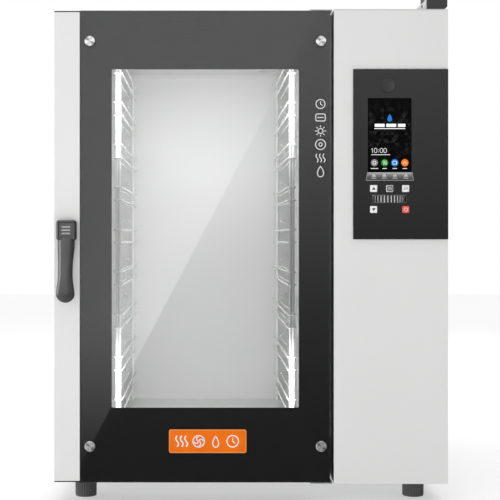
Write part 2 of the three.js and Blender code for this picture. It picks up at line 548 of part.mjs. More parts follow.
function addHinges() {
  const plate = (z0, z1) => box(118, 163, FRONT_Y + 2, FRAME_FRONT_Y - GAP, z0, z1);
  const pin = (z0, z1) => rod(HINGE.pin, [HINGE.x, HINGE.y, z0], [HINGE.x, HINGE.y, z1]);
  const upper = plate(DOOR_TOP + 0.5, BODY_TOP).add(pin(DOOR_TOP - 25, DOOR_TOP + 1));
  const lower = plate(FOOT_HEIGHT, DOOR_BOTTOM - 0.5).add(pin(DOOR_BOTTOM - 1, DOOR_BOTTOM + 25));
  addPiece(oven, 'hinge_bracket_upper', upper, finish('blackPaint'));
  addPiece(oven, 'hinge_bracket_lower', lower, finish('blackPaint'));
}

function addHandle() {
  const [z0, z1] = [DOOR_BOTTOM + RAIL_HEIGHT + GAP, DOOR_TOP - RAIL_HEIGHT - GAP];
  const bore = [DOOR_LEFT + SHEET, STRIP_RIGHT - SHEET, FRONT_Y + SHEET, DOOR_BACK_Y - SHEET];
  const tube = box(DOOR_LEFT, STRIP_RIGHT, FRONT_Y, DOOR_BACK_Y, z0, z1).subtract(box(...bore, z0 - 1, z1 + 1));
  const hole = rod(7.5, [LATCH.x, -390, LATCH.z], [LATCH.x, -310, LATCH.z], 20);
  addPiece(door, 'handle_strip', tube.subtract(hole), finish('satinSteel'));

  const { x, z } = LATCH;
  const face = new THREE.Shape();
  face.moveTo(x - 17, z - 19.6);
  face.bezierCurveTo(x - 13, z - 60, x - 13, z - 90, x - 18, z - 122);
  face.bezierCurveTo(x - 19, z - 136, x - 10, z - 144.2, x, z - 144.2);
  face.bezierCurveTo(x + 10, z - 144.2, x + 19, z - 136, x + 18, z - 122);
  face.bezierCurveTo(x + 13, z - 90, x + 13, z - 60, x + 17, z - 19.6);
  face.lineTo(x + 17, z);
  face.lineTo(x - 17, z);
  const { half, low, high } = LEVER_HEAD;
  const block = { x0: x - half, x1: x + half, z0: z - low, z1: z + high };
  const head = deepened(roundedRectangle(block, 4), -406, -381.2);
  const side = new THREE.Shape();
  side.moveTo(-381.2, z);
  side.lineTo(-381.2, z - 19.6);
  side.bezierCurveTo(-386, z - 50, -404, z - 60, -406, z - 110);
  side.lineTo(-406, z - 145);
  side.lineTo(-422, z - 145);
  side.bezierCurveTo(-428, z - 110, -424, z - 50, -406, z - 14);
  side.lineTo(-406, z);
  const sweep = new THREE.ExtrudeGeometry(side, { depth: 60, bevelEnabled: false, curveSegments: 8 });
  const sideways = new THREE.Matrix4().set(0, 0, 1, x - 30, 1, 0, 0, 0, 0, 1, 0, 0, 0, 0, 0, 1);
  const swept = solid(sweep.applyMatrix4(sideways));
  const socket = rod(6.3, [x, -394, z], [x, -375, z]);
  const lever = deepened(face, -430, -380, 8).intersect(swept).add(head).subtract(socket);
  addPiece(door, 'handle_lever', lever, finish('blackPlastic'));

  const spindle = rod(6, [x, -393, z], [x, -304.5, z]);
  const cam = deepened(roundedRectangle({ x0: x - 9, x1: x + 19, z0: z - 9, z1: z + 9 }, 5), -313, -305);
  addPiece(door, 'latch_spindle', spindle.add(cam), finish('zincSteel'));
}

addFeet();
addPlinth();
addCasing();
addAirOutlet();
addCavity();
addRack('rack_left', RACK_X[0]);
addRack('rack_right', RACK_X[1]);
addBaffle();
addFans();
addPlumbing();
addVent();
addColumn();
addKeys();
addScrollWheel();
addDoorGlass();
addDoorFrame();
addHinges();
addHandle();

export default oven;
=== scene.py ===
"""Finish of a countertop combi steamer oven: fine pieces, materials, soft studio light and camera."""

import math

import bmesh
import bpy
import numpy as np
from bpy.props import FloatProperty, FloatVectorProperty, IntProperty
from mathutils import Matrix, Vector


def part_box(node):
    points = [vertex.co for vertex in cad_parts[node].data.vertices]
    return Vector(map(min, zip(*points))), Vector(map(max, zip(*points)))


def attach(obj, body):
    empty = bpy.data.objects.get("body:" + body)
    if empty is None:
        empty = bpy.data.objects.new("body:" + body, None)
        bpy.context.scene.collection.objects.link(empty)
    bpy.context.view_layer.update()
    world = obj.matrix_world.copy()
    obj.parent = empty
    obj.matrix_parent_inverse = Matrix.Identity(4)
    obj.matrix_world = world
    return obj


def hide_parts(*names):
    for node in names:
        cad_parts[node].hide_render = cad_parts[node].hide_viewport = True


bl_info = {
    "name": "Combi Steamer Oven",
    "version": (1, 0, 0),
    "blender": (4, 5, 0),
    "location": "View3D > Sidebar > Oven",
    "description": "Builds the visible finish of a countertop combi steamer oven round its frame",
    "category": "Object",
}

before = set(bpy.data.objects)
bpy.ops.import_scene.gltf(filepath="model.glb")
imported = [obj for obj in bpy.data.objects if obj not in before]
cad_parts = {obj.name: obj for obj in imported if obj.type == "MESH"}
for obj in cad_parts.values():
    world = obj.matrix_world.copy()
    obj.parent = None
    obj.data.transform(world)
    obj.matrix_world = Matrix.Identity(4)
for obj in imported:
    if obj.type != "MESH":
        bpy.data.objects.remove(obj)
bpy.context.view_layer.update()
MM = 0.001
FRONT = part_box("door_outer_glass")[0].y
TAU = 2 * math.pi


# Shapes: the surface functions return (points, faces) lists that add_piece joins into one mesh; the others
# return outlines and paths for them.

def ring_surface(rings, capped=True):
    """Rings of points, one after another: point j of ring i joins its neighbours in a quad, and each
    end is closed by one face when capped."""
    count, around = rings.shape[:2]
    index = np.arange(count * around).reshape(count, around)
    ahead = np.roll(index, -1, axis=1)
    quads = np.stack([index[:-1], ahead[:-1], ahead[1:], index[1:]], axis=-1).reshape(-1, 4)
    faces = quads.tolist()
    if capped:
        faces += [index[0][::-1].tolist(), index[-1].tolist()]
    return rings.reshape(-1, 3), faces


def rounded_outline(width, height, radius, steps=7):
    """A rectangle with round corners: each corner is a quarter circle about a centre one radius inside."""
    turn = np.linspace(0, math.pi / 2, steps)
    quarters = turn[None, :] + np.arange(4)[:, None] * math.pi / 2
    signs = np.array([[1, 1], [-1, 1], [-1, -1], [1, -1]])
    centres = signs * (np.array([width, height]) / 2 - radius)
    arcs = np.stack([np.cos(quarters), np.sin(quarters)], axis=-1) * radius
    return (centres[:, None, :] + arcs).reshape(-1, 2)


def facing(outline, x, z, y):
    """A flat outline (u, v) stood up facing the front: point = (x + u, y, z + v)."""
    flat = np.asarray(outline, float)
    return np.stack([x + flat[:, 0], np.full(len(flat), y), z + flat[:, 1]], axis=-1)


def plate(outline, x, z, back, front):
    """An outline carried straight from back to front."""
    return ring_surface(np.stack([facing(outline, x, z, back), facing(outline, x, z, front)]))


def stepped(width, height, radius, x, z, steps):
    """A rounded rectangle carried along y; each step is (inset, y), and the inset shrinks the outline."""
    rings = [facing(rounded_outline(width - 2 * inset, height - 2 * inset, max(radius - inset, radius * 0.3)),
                    x, z, y) for inset, y in steps]
    return ring_surface(np.stack(rings))


def turned(profile, centre, axis, sides=48, capped=True):
    """A profile of (radius, height) turned round an axis through centre: point = centre + height * axis
    + radius * (cos a * u + sin a * v). Both ends are closed by a face unless capped is false, as it is passed
      for a profile that ends where it starts."""
    profile = np.asarray(profile, float)
    along = np.asarray(axis, float)
    u = np.roll(along, 1)
    v = np.cross(along, u)
    turn = np.linspace(0, TAU, sides, endpoint=False)
    circle = np.cos(turn)[:, None] * u + np.sin(turn)[:, None] * v
    rings = np.asarray(centre) + profile[:, 1, None, None] * along + profile[:, 0, None, None] * circle
    return ring_surface(rings, capped)


def tube(path, radius, sides=10, up=(0, 0, 1), closed=False):
    """A round section carried along a path: its plane is spanned by tangent x up and its normal."""
    path = np.asarray(path, float)
    tangent = np.roll(path, -1, 0) - np.roll(path, 1, 0) if closed else np.gradient(path, axis=0)
    tangent /= np.linalg.norm(tangent, axis=1, keepdims=True)
    side = np.cross(tangent, np.asarray(up, float))
    side /= np.linalg.norm(side, axis=1, keepdims=True)
    normal = np.cross(side, tangent)
    turn = np.linspace(0, TAU, sides, endpoint=False)[None, :, None]
    rings = path[:, None, :] + radius * (np.cos(turn) * side[:, None, :] + np.sin(turn) * normal[:, None, :])
    if closed:
        rings = np.concatenate([rings, rings[:1]])
    return ring_surface(rings, capped=not closed)


def filleted(corners, radius, steps=6):
    """A path through corners whose bends are quadratic curves that start and end a radius before them."""
    corners = np.asarray(corners, float)
    before, here, after = corners[:-2], corners[1:-1], corners[2:]
    into = here + radius * (before - here) / np.linalg.norm(before - here, axis=1, keepdims=True)
    away = here + radius * (after - here) / np.linalg.norm(after - here, axis=1, keepdims=True)
    t = np.linspace(0, 1, steps)[None, :, None]
    bends = (1 - t) ** 2 * into[:, None] + 2 * t * (1 - t) * here[:, None] + t ** 2 * away[:, None]
    return np.concatenate([corners[:1], bends.reshape(-1, corners.shape[1]), corners[-1:]])


def stroke(path, width, y, depth=0.25 * MM, closed=False):
    """A flat line drawn on an upright face: a rectangle, width across and depth thick, along (x, z)."""
    path = np.asarray(path, float)
    ahead = np.roll(path, -1, 0) - np.roll(path, 1, 0) if closed else np.gradient(path, axis=0)
    side = np.stack([-ahead[:, 1], ahead[:, 0]], axis=-1)
    side *= width / 2 / np.linalg.norm(side, axis=1, keepdims=True)
    low, high = path - side, path + side
    corners = ((low, y), (high, y), (high, y - depth), (low, y - depth))
    rings = np.stack([facing(edge, 0, 0, at) for edge, at in corners], axis=1)
    if closed:
        rings = np.concatenate([rings, rings[:1]])
    return ring_surface(rings, capped=not closed)


def arc(x, z, radius, start=0.0, end=TAU, steps=32):
    """Points on a circle about (x, z) from angle start to angle end."""
    turn = np.linspace(start, end, steps, endpoint=abs(end - start) < TAU)
    return np.stack([x + radius * np.cos(turn), z + radius * np.sin(turn)], axis=-1)


def disc(x, z, radius, back, front, sides=32):
    """A flat round plate facing the front."""
    return plate(arc(0, 0, radius, steps=sides), x, z, back, front)


def wave(x, z, height, swing, steps=24):
    """A rising wavy line: x swings as a sine while z climbs by height."""
    t = np.linspace(0, 1, steps)
    return np.stack([x + swing * np.sin(TAU * t), z + height * (t - 0.5)], axis=-1)


def droplet(x, z, width, height):
    """A drop with its tip up: x follows sin t * sin t/2 and z follows cos t."""
    t = np.linspace(0, TAU, 40, endpoint=False)
    return np.stack([x + width * np.sin(t) * np.sin(t / 2), z + height * np.cos(t)], axis=-1)


# Materials.

def plug(tree, socket, value):
    """Links a Link to a socket, or writes a plain value into it."""
    if isinstance(value, Link):
        tree.links.new(value.socket, socket)
    else:
        socket.default_value = value


class Link:
    """A node's output; +, -, * and above() add Math nodes to its tree."""

    def __init__(self, tree, socket):
        self.tree = tree
        self.socket = socket

    def math(self, operation, *values):
        node = self.tree.nodes.new("ShaderNodeMath")
        node.operation = operation
        for socket, value in zip(node.inputs, values):
            plug(self.tree, socket, value)
        return Link(self.tree, node.outputs[0])

    def __add__(self, other):
        return self.math("ADD", self, other)

    def __sub__(self, other):
        return self.math("SUBTRACT", self, other)

    def __rsub__(self, other):
        return self.math("SUBTRACT", other, self)

    def __mul__(self, other):
        return self.math("MULTIPLY", self, other)

    def above(self, limit):
        return self.math("GREATER_THAN", self, limit)

    __radd__ = __add__
    __rmul__ = __mul__


class Nodes:
    """Adds nodes to one tree."""

    def __init__(self, tree):
        self.tree = tree

    def add(self, kind, settings=None, values=None, output=0):
        """One node: its settings first, then the values or links of its sockets."""
        node = self.tree.nodes.new(kind)
        for key, value in (settings or {}).items():
            if key == "stops":
                set_stops(node.color_ramp, value)
            else:
                setattr(node, key, value)
        for key, value in (values or {}).items():
            plug(self.tree, node.inputs[key], value)
        return Link(self.tree, node.outputs[output])


class Finish(Nodes):
    """A material under construction round one Principled shader."""

    def __init__(self, name, **constants):
        self.material = bpy.data.materials.new(name)
        self.material.use_nodes = True
        super().__init__(self.material.node_tree)
        self.shader = self.tree.nodes["Principled BSDF"]
        for socket, value in constants.items():
            self.shader.inputs[socket.replace("_", " ")].default_value = value
        self.place = self.add("ShaderNodeTexCoord", output="Object")

    def along(self, axis):
        """One of the object coordinates: X, Y or Z."""
        return self.add("ShaderNodeSeparateXYZ", None, {"Vector": self.place}, axis)

    def share(self, value, low, high):
        """0 where the value is low and 1 where it is high, held at both ends."""
        return self.add("ShaderNodeMapRange", None, {"Value": value, "From Min": low, "From Max": high})

    def stretched(self, scale):
        """Object coordinates multiplied by one number per axis."""
        return self.add("ShaderNodeVectorMath", {"operation": "MULTIPLY"}, {0: self.place, 1: scale})

    def noise(self, scale, detail=3.0, stretch=(1, 1, 1)):
        """Fractal noise in object coordinates; a small stretch number draws it out along that axis."""
        values = {"Vector": self.stretched(stretch), "Scale": scale, "Detail": detail}
        return self.add("ShaderNodeTexNoise", None, values)

    def ramp(self, factor, stops):
        return self.add("ShaderNodeValToRGB", {"stops": stops}, {"Fac": factor})

    def mixed(self, factor, first, second):
        """First colour where the factor is 0 and second where it is 1."""
        return self.add("ShaderNodeMix", {"data_type": "RGBA"}, {0: factor, 6: first, 7: second}, 2)

    def drive(self, **links):
        """Feeds sockets of the shader that may vary over the surface."""
        for socket, link in links.items():
            plug(self.tree, self.shader.inputs[socket.replace("_", " ")], link)
        return self

    def relief(self, height, strength, distance=0.2 * MM):
        """Small surface relief from a height."""
        values = {"Height": height, "Strength": strength, "Distance": distance}
        return self.drive(Normal=self.add("ShaderNodeBump", None, values))


def set_stops(ramp, stops):
    """Stops are (position, colour) pairs in rising order."""
    while len(ramp.elements) < len(stops):
        ramp.elements.new(1.0)
    for element, (position, value) in zip(ramp.elements, stops):
        element.position = position
        element.color = value


def grey(value):
    return (value, value, value, 1)


def tint(colour, factor):
    return tuple(channel * factor for channel in colour[:3]) + (1,)


def steel(name, colour, roughness, metallic, grain, strength=0.05):
    """Rolled sheet: long fine scratches along the grain, and soft cloudy handling marks."""
    made = Finish(name, Metallic=metallic)
    scratches = made.noise(900.0, 2.0, grain)
    clouds = made.noise(5.0, 4.0)
    shade = made.mixed(clouds * 0.5 + scratches * 0.5, tint(colour, 0.95), tint(colour, 1.04))
    made.drive(Base_Color=shade, Roughness=clouds * 0.08 + scratches * 0.1 + (roughness - 0.09))
    return made.relief(scratches, strength)


def wire_steel(name, colour):
    """Drawn and electropolished wire, nearly white: a slow change of polish and faint drawing marks."""
    made = Finish(name)
    marks = made.noise(260.0, 2.0)
    slow = made.noise(14.0, 3.0)
    return made.drive(Base_Color=made.mixed(slow, tint(colour, 0.93), colour),
                      Roughness=slow * 0.1 + 0.12).relief(marks, 0.04)


def zinc(name, colour):
    """Zinc-plated sheet: crystals of slightly different grey with soft edges."""
    made = Finish(name, Metallic=0.8)
    cells = made.add("ShaderNodeTexVoronoi", None, {"Vector": made.place, "Scale": 70.0}, "Color")
    flakes = made.add("ShaderNodeSeparateColor", None, {"Color": cells})
    return made.drive(Base_Color=made.mixed(flakes, tint(colour, 0.86), tint(colour, 1.06)),
                      Roughness=flakes * 0.16 + 0.34).relief(made.noise(60.0), 0.05)


def moulded(name, colour, roughness=0.45, texture=900.0, strength=0.12, coat=0.0, shine=0.5):
    """Moulded plastic or paint: fine spark texture, and rubbed patches that shine a little more."""
    made = Finish(name, Coat_Weight=coat, Coat_Roughness=0.12, Specular_IOR_Level=shine)
    grainy = made.noise(texture, 2.0)
    rubbed = made.noise(22.0, 4.0)
    return made.drive(Base_Color=made.mixed(rubbed, tint(colour, 0.86), tint(colour, 1.1)),
                      Roughness=rubbed * 0.14 + (roughness - 0.07)).relief(grainy, strength, 0.08 * MM)


def clear_glass(name):
    """Tempered pane: clear, with a trace of wiped haze in its polish."""
    made = Finish(name, Transmission_Weight=1.0, IOR=1.46)
    haze = made.noise(7.0, 5.0)
    return made.drive(Base_Color=made.mixed(haze, (0.97, 0.98, 0.98, 1), (1, 1, 1, 1)),
                      Roughness=(haze - 0.45) * 0.02)


def glint_painted_steel(name, colour):
    """Turned steel with a painted highlight: a fan of light and dark sectors painted into the base colour,
    standing in for the glints off its fine rings; the mesh holds the fan as an attribute.
    """
    made = Finish(name, Metallic=0.85)
    fan = made.add("ShaderNodeAttribute", {"attribute_name": "sheen"}, output="Fac")
    fine = made.noise(400.0, 2.0)
    # Painted highlight: the fan darkens the base colour to 0.3 of the steel and lightens it to 1.15.
    return made.drive(Base_Color=made.mixed(fan, tint(colour, 0.3), tint(colour, 1.15)),
                      Roughness=fine * 0.1 + 0.22).relief(fine, 0.03)


def lit(name, colour, strength=1.0):
    """Part of the display: an even glow broken up by the fine dot rows of the panel."""
    made = Finish(name, Roughness=0.25, Emission_Strength=strength, Specular_IOR_Level=0.04)
    rows = made.add("ShaderNodeTexWave", {"bands_direction": "Z"}, {"Vector": made.place, "Scale": 600.0}, 1)
    shade = made.mixed(rows, tint(colour, 0.9), colour)
    return made.drive(Base_Color=tint(colour, 0.2), Emission_Color=shade)


def sloped_print(name, low, high):
    """The ledge's printed fade, from light along its top edge to dark along its bottom edge."""
    made = Finish(name)
    fade = made.share(made.along("Z"), low, high)
    colours = made.ramp(fade, [(0.0, grey(0.025)), (0.35, grey(0.06)), (0.75, grey(0.22)), (1.0, grey(0.52))])
    return made.drive(Base_Color=colours, Roughness=made.noise(40.0) * 0.1 + 0.25)


def facet_print(name):
    """Display background: each flat facet keeps its own tone from the mesh."""
    made = Finish(name, Roughness=0.2, Emission_Strength=1.0, Base_Color=grey(0.001),
                  Specular_IOR_Level=0.04)
    tone = made.add("ShaderNodeAttribute", {"attribute_name": "tone"}, output="Fac")
    return made.drive(Emission_Color=made.mixed(tone, grey(0.0005), grey(0.03)))


def wool_mat(name):
    """Mineral wool: tangled fibres and loose tufts."""
    made = Finish(name, Roughness=0.95)
    fibres = made.noise(160.0, 8.0, (1, 1, 3))
    made.drive(Base_Color=made.mixed(fibres, (0.30, 0.24, 0.13, 1), (0.55, 0.47, 0.30, 1)))
    return made.relief(fibres, 0.9, 3 * MM)


def circuit_print(name):
    """Circuit board: green lacquer over lighter copper tracks in a square layout."""
    made = Finish(name, Roughness=0.35)
    values = {"Vector": made.place, "Scale": 120.0, "Mortar Size": 0.03}
    tracks = made.add("ShaderNodeTexBrick", None, values, "Fac")
    return made.drive(Base_Color=made.mixed(tracks, (0.012, 0.09, 0.035, 1), (0.05, 0.22, 0.09, 1)))


FINISHES = {}


def build_finishes(look):
    """Every material of the oven, made once and shared by name."""
    made = {
        "satin_steel": steel("satin_steel", look.steel, 0.5, 0.16, (1, 1, 0.012)),
        "roof_steel": steel("roof_steel", look.steel, 0.38, 0.45, (0.012, 1, 1)),
        "cavity_steel": steel("cavity_steel", look.cavity, 0.34, 0.35, (1, 0.02, 1)),
        "fan_steel": steel("fan_steel", look.cavity, 0.3, 0.8, (0.05, 1, 1)),
        "spun_steel": steel("spun_steel", (0.72, 0.72, 0.72, 1), 0.24, 0.9, (1, 1, 1)),
        "wire_steel": wire_steel("wire_steel", (0.95, 0.95, 0.95, 1)),
        # Steel whose fan of light and dark is a painted highlight.
        "glint_painted_steel": glint_painted_steel("glint_painted_steel", (0.8, 0.8, 0.8, 1)),
        "zinc_steel": zinc("zinc_steel", (0.62, 0.63, 0.64, 1)),
        "black_paint": moulded("black_paint", look.enamel, 0.36, 500.0, 0.05),
        "clear_glass": clear_glass("clear_glass"),
        "black_panel": moulded("black_panel", (0.003, 0.003, 0.0032, 1), 0.16, 300.0, 0.01, 0.0, 0.5),
        "back_print": moulded("back_print", (0.006, 0.006, 0.006, 1), 0.6, 300.0, 0.01, 0.0, 0.1),
        "black_plastic": moulded("black_plastic", (0.03, 0.03, 0.031, 1), 0.42, 1100.0, 0.2),
        "grey_plastic": moulded("grey_plastic", (0.075, 0.075, 0.078, 1), 0.48, 900.0, 0.15),
        "frame_plastic": moulded("frame_plastic", (0.2, 0.2, 0.2, 1), 0.35, 900.0, 0.05),
        # Pale plastic of the lever bars; on the scroll wheel ribs its light colour is painted light against
        # the shade of the slot.
        "pale_plastic_and_painted_rib_light": moulded("pale_plastic_and_painted_rib_light", (0.62, 0.62, 0.62, 1), 0.3, 900.0, 0.05),
        "lid_plastic": moulded("lid_plastic", (0.035, 0.035, 0.036, 1), 0.4, 900.0, 0.05, 0.0, 0.4),
        "lever_plastic": moulded("lever_plastic", (0.03, 0.03, 0.0305, 1), 0.32, 1100.0, 0.15, 0.0, 1.0),
        "rubber": moulded("rubber", (0.018, 0.018, 0.018, 1), 0.72, 400.0, 0.1),
        "orange_plate": moulded("orange_plate", look.badge, 0.4, 250.0, 0.03, 0.0, 0.08),
        "orange_rim": moulded("orange_rim", (0.92, 0.36, 0.1, 1), 0.4, 250.0, 0.03, 0.0, 0.2),
        "screen": moulded("screen", (0.001, 0.001, 0.001, 1), 0.2, 300.0, 0.0, 0.0, 0.04),
        "circuit": circuit_print("circuit"),
        "brass": steel("brass", (0.6, 0.42, 0.17, 1), 0.34, 0.95, (1, 1, 1)),
        "wool": wool_mat("wool"),
        "white_key": moulded("white_key", (0.86, 0.86, 0.86, 1), 0.3, 700.0, 0.03, 0.2),
        "grey_key": moulded("grey_key", (0.56, 0.56, 0.56, 1), 0.3, 700.0, 0.03, 0.2),
        "red_key": moulded("red_key", look.stop_key, 0.3, 700.0, 0.03, 0.2),
        "white_ink": moulded("white_ink", (0.85, 0.85, 0.85, 1), 0.5, 700.0, 0.02),
        # Black print of the key and lid signs; on the scroll wheel drum it is painted shade for the grooves
        # between the ribs.
        "black_print_and_painted_shade": moulded("black_print_and_painted_shade", (0.02, 0.02, 0.02, 1), 0.5, 700.0, 0.02),
        "grey_ink": moulded("grey_ink", (0.3, 0.3, 0.3, 1), 0.5, 700.0, 0.02),
        "pale_ink": moulded("pale_ink", (0.5, 0.5, 0.5, 1), 0.5, 700.0, 0.02),
        "lit_white": lit("lit_white", (0.9, 0.9, 0.9, 1)),
        "lit_grey": lit("lit_grey", (0.2, 0.2, 0.2, 1)),
        "lit_green": lit("lit_green", (0.004, 0.26, 0.008, 1)),
        "lit_blue": lit("lit_blue", (0.012, 0.2, 0.6, 1)),
        "lit_orange": lit("lit_orange", (0.9, 0.19, 0.01, 1)),
        "lamp": lit("lamp", (1.0, 0.97, 0.92, 1), 2.0),
        "facets": facet_print("facets"),
    }
    low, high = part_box("soft_key_ledge")
    made["ledge_print"] = sloped_print("ledge_print", low.z, high.z)
    FINISHES.update({name: finish.material for name, finish in made.items()})


# Which frame nodes each finish goes on, and how wide their edges are rounded in millimetres. Glass and
# the glossy panel stay sharp, so that what they mirror isn't bent.
NODE_FINISHES = {
    "satin_steel": (0.8, "left_side_panel right_side_panel column_front handle_strip air_outlet_bracket "
                         "vent_flap"),
    "roof_steel": (0.5, "top_panel"),
    "cavity_steel": (0.5, "cavity_liner fan_baffle"),
    "fan_steel": (0.3, "fan_wheel_lower fan_wheel_upper heater_lower heater_upper"),
    "zinc_steel": (0.4, "base_frame back_panel hinge_bracket_upper hinge_bracket_lower fan_motor_lower "
                        "fan_motor_upper steam_pipe latch_spindle port_socket"),
    "black_paint": (0.8, "cavity_front_frame"),
    "back_print": (0.8, "door_frame"),
    "clear_glass": (0, "door_outer_glass door_inner_glass"),
    "black_panel": (0, "control_panel"),
    "black_plastic": (1.2, "air_outlet_box"),
    "grey_plastic": (1.0, "vent_motor"),
    "rubber": (1.2, "door_gasket"),
    "orange_plate": (0.4, "door_badge"),
    "screen": (0.3, "display"),
    "ledge_print": (0.3, "soft_key_ledge"),
    "circuit": (0.2, "control_board power_board"),
    "wool": (2.0, "insulation"),
    "lamp": (1.0, "door_light_bar"),
}


# Pieces.

def add_piece(name, surfaces, finish, body, replaces=(), bevel=0.0):
    """Joins surfaces into one mesh at the origin, turns its faces outwards and fastens it to its body."""
    starts = np.cumsum([0] + [len(points) for points, _ in surfaces])
    faces = [[corner + start for corner in face]
             for (_, some), start in zip(surfaces, starts) for face in some]
    mesh = bpy.data.meshes.new(name)
    mesh.from_pydata(np.concatenate([points for points, _ in surfaces]).tolist(), [], faces)
    work = bmesh.new()
    work.from_mesh(mesh)
    bmesh.ops.remove_doubles(work, verts=work.verts, dist=0.002 * MM)
    bmesh.ops.recalc_face_normals(work, faces=work.faces)
    work.to_mesh(mesh)
    work.free()
    mesh.shade_smooth()
    mesh.set_sharp_from_angle(angle=math.radians(38))
    mesh.materials.append(FINISHES[finish])
    piece = bpy.data.objects.new(name, mesh)
    bpy.context.scene.collection.objects.link(piece)
    if bevel:
        round_edges(piece, bevel)
    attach(piece, body)
    if replaces:
        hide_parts(*replaces)
    return piece


def round_edges(piece, width):
    """Rounds edges sharper than forty degrees, keeping flat faces flat."""
    bevel = piece.modifiers.new("Bevel", "BEVEL")
    bevel.width = width
    bevel.segments = 3
    bevel.limit_method = "ANGLE"
    bevel.angle_limit = math.radians(40)
    normals = piece.modifiers.new("Weighted normals", "WEIGHTED_NORMAL")
    normals.weight = 100


class OvenSettings(bpy.types.PropertyGroup):
    """Sizes and colours of the oven's finish that a user may change."""

    steel: FloatVectorProperty(name="Steel", description="Colour of the satin sheet", subtype="COLOR",
                               size=4, min=0, max=1, default=(0.77, 0.77, 0.767, 1))
    cavity: FloatVectorProperty(name="Cavity", description="Colour of the cavity sheet", subtype="COLOR",
                                size=4, min=0, max=1, default=(0.84, 0.84, 0.835, 1))
    enamel: FloatVectorProperty(name="Enamel", description="Colour of the black enamel", subtype="COLOR",
                                size=4, min=0, max=1, default=(0.012, 0.012, 0.012, 1))
    badge: FloatVectorProperty(name="Badge", description="Colour of the badge plate", subtype="COLOR",
                               size=4, min=0, max=1, default=(0.86, 0.17, 0.006, 1))
    stop_key: FloatVectorProperty(name="Stop key", description="Colour of the stop key", subtype="COLOR",
                                  size=4, min=0, max=1, default=(0.8, 0.1, 0.065, 1))
    wire: FloatProperty(name="Rack wire", description="Diameter of the rack wires", unit="LENGTH",
                        default=4 * MM, min=3 * MM, max=5 * MM)
    post: FloatProperty(name="Rack post", description="Diameter of the rack posts", unit="LENGTH",
                        default=7 * MM, min=5 * MM, max=9 * MM)
    wheel_ribs: IntProperty(name="Wheel ribs", description="Ribs round the scroll wheel", default=32, min=12,
                            max=60)
    foot_ribs: IntProperty(name="Foot ribs", description="Ribs round each foot", default=26, min=8, max=48)


class OVEN_OT_frame_finish(bpy.types.Operator):
    """Give the frame nodes listed in NODE_FINISHES their materials, and softly rounded edges where a width is
    given
    """

    bl_idname = "oven.frame_finish"
    bl_label = "Frame finish"

    def execute(self, context):
        build_finishes(context.scene.oven)
        for finish, (edge, names) in NODE_FINISHES.items():
            for name in names.split():
                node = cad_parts[name]
                node.data.materials.clear()
                node.data.materials.append(FINISHES[finish])
                if edge:
                    node.data.shade_smooth()
                    weld = node.modifiers.new("Weld", "WELD")
                    weld.merge_threshold = 0.005 * MM
                    round_edges(node, edge * MM)
        return {"FINISHED"}


class OVEN_OT_racks(bpy.types.Operator):
    """Weld up the two side racks from drawn wire"""

    bl_idname = "oven.racks"
    bl_label = "Side racks"
    # Where the posts stand, how high the lowest of the nine levels is, how far apart the levels and the
    # two hairpins of one level are, and how far a hairpin reaches to the side of and past its posts.
    POST_X = {"rack_left": -274 * MM, "rack_right": 90 * MM}
    POST_Y = (-250 * MM, 296 * MM)
    LEVELS = 9
    FIRST = 166 * MM
    PITCH = 89 * MM
    PAIR = 27.3 * MM
    SPREAD = 7.5 * MM
    REACH = 6.6 * MM

    def hairpin(self, x, z, wire):
        """A closed loop of wire round both posts: a long rectangle in plan whose ends are half circles."""
        front, rear = self.POST_Y
        length = rear - front + 2 * self.REACH
        plan = rounded_outline(2 * self.SPREAD, length, 5.2 * MM, 8)
        path = np.stack([x + plan[:, 0], (front + rear) / 2 + plan[:, 1], np.full(len(plan), z)], axis=-1)
        return tube(path, wire / 2, 10, closed=True)

    def brace(self, x, away, z, wire):
        """A light wire that leaves the rear post towards the wall and sweeps back to the front post."""
        rear = self.POST_Y[1]
        points = [(x + away * 22 * MM, rear - 6 * MM, z), (x + away * 15 * MM, rear - 120 * MM, z + 1 * MM),
                  (x - away * 4 * MM, rear - 232 * MM, z + 2 * MM)]
        return tube(filleted(points, 70 * MM, 8), wire * 0.4, 8)

    def execute(self, context):
        look = context.scene.oven
        for name, x in self.POST_X.items():
            low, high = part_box(name)
            away = -1 if x < 0 else 1
            posts = [(x - 3 * MM, self.POST_Y[0], 0.42), (x + 3 * MM, self.POST_Y[0], 0.42),
                     (x, self.POST_Y[1], 0.5)]
            parts = [tube(np.linspace((across, y, low.z), (across, y, high.z), 5), look.post * share, 16,
                          (0, 1, 0)) for across, y, share in posts]
            for level in range(self.LEVELS):
                rest = self.FIRST + level * self.PITCH
                parts += [self.hairpin(x, z, look.wire) for z in (rest, rest + self.PAIR)]
                parts.append(self.brace(x, away, rest + 47 * MM, look.wire))
            add_piece(f"{name}_wires", parts, "wire_steel", "root", [name])
        return {"FINISHED"}


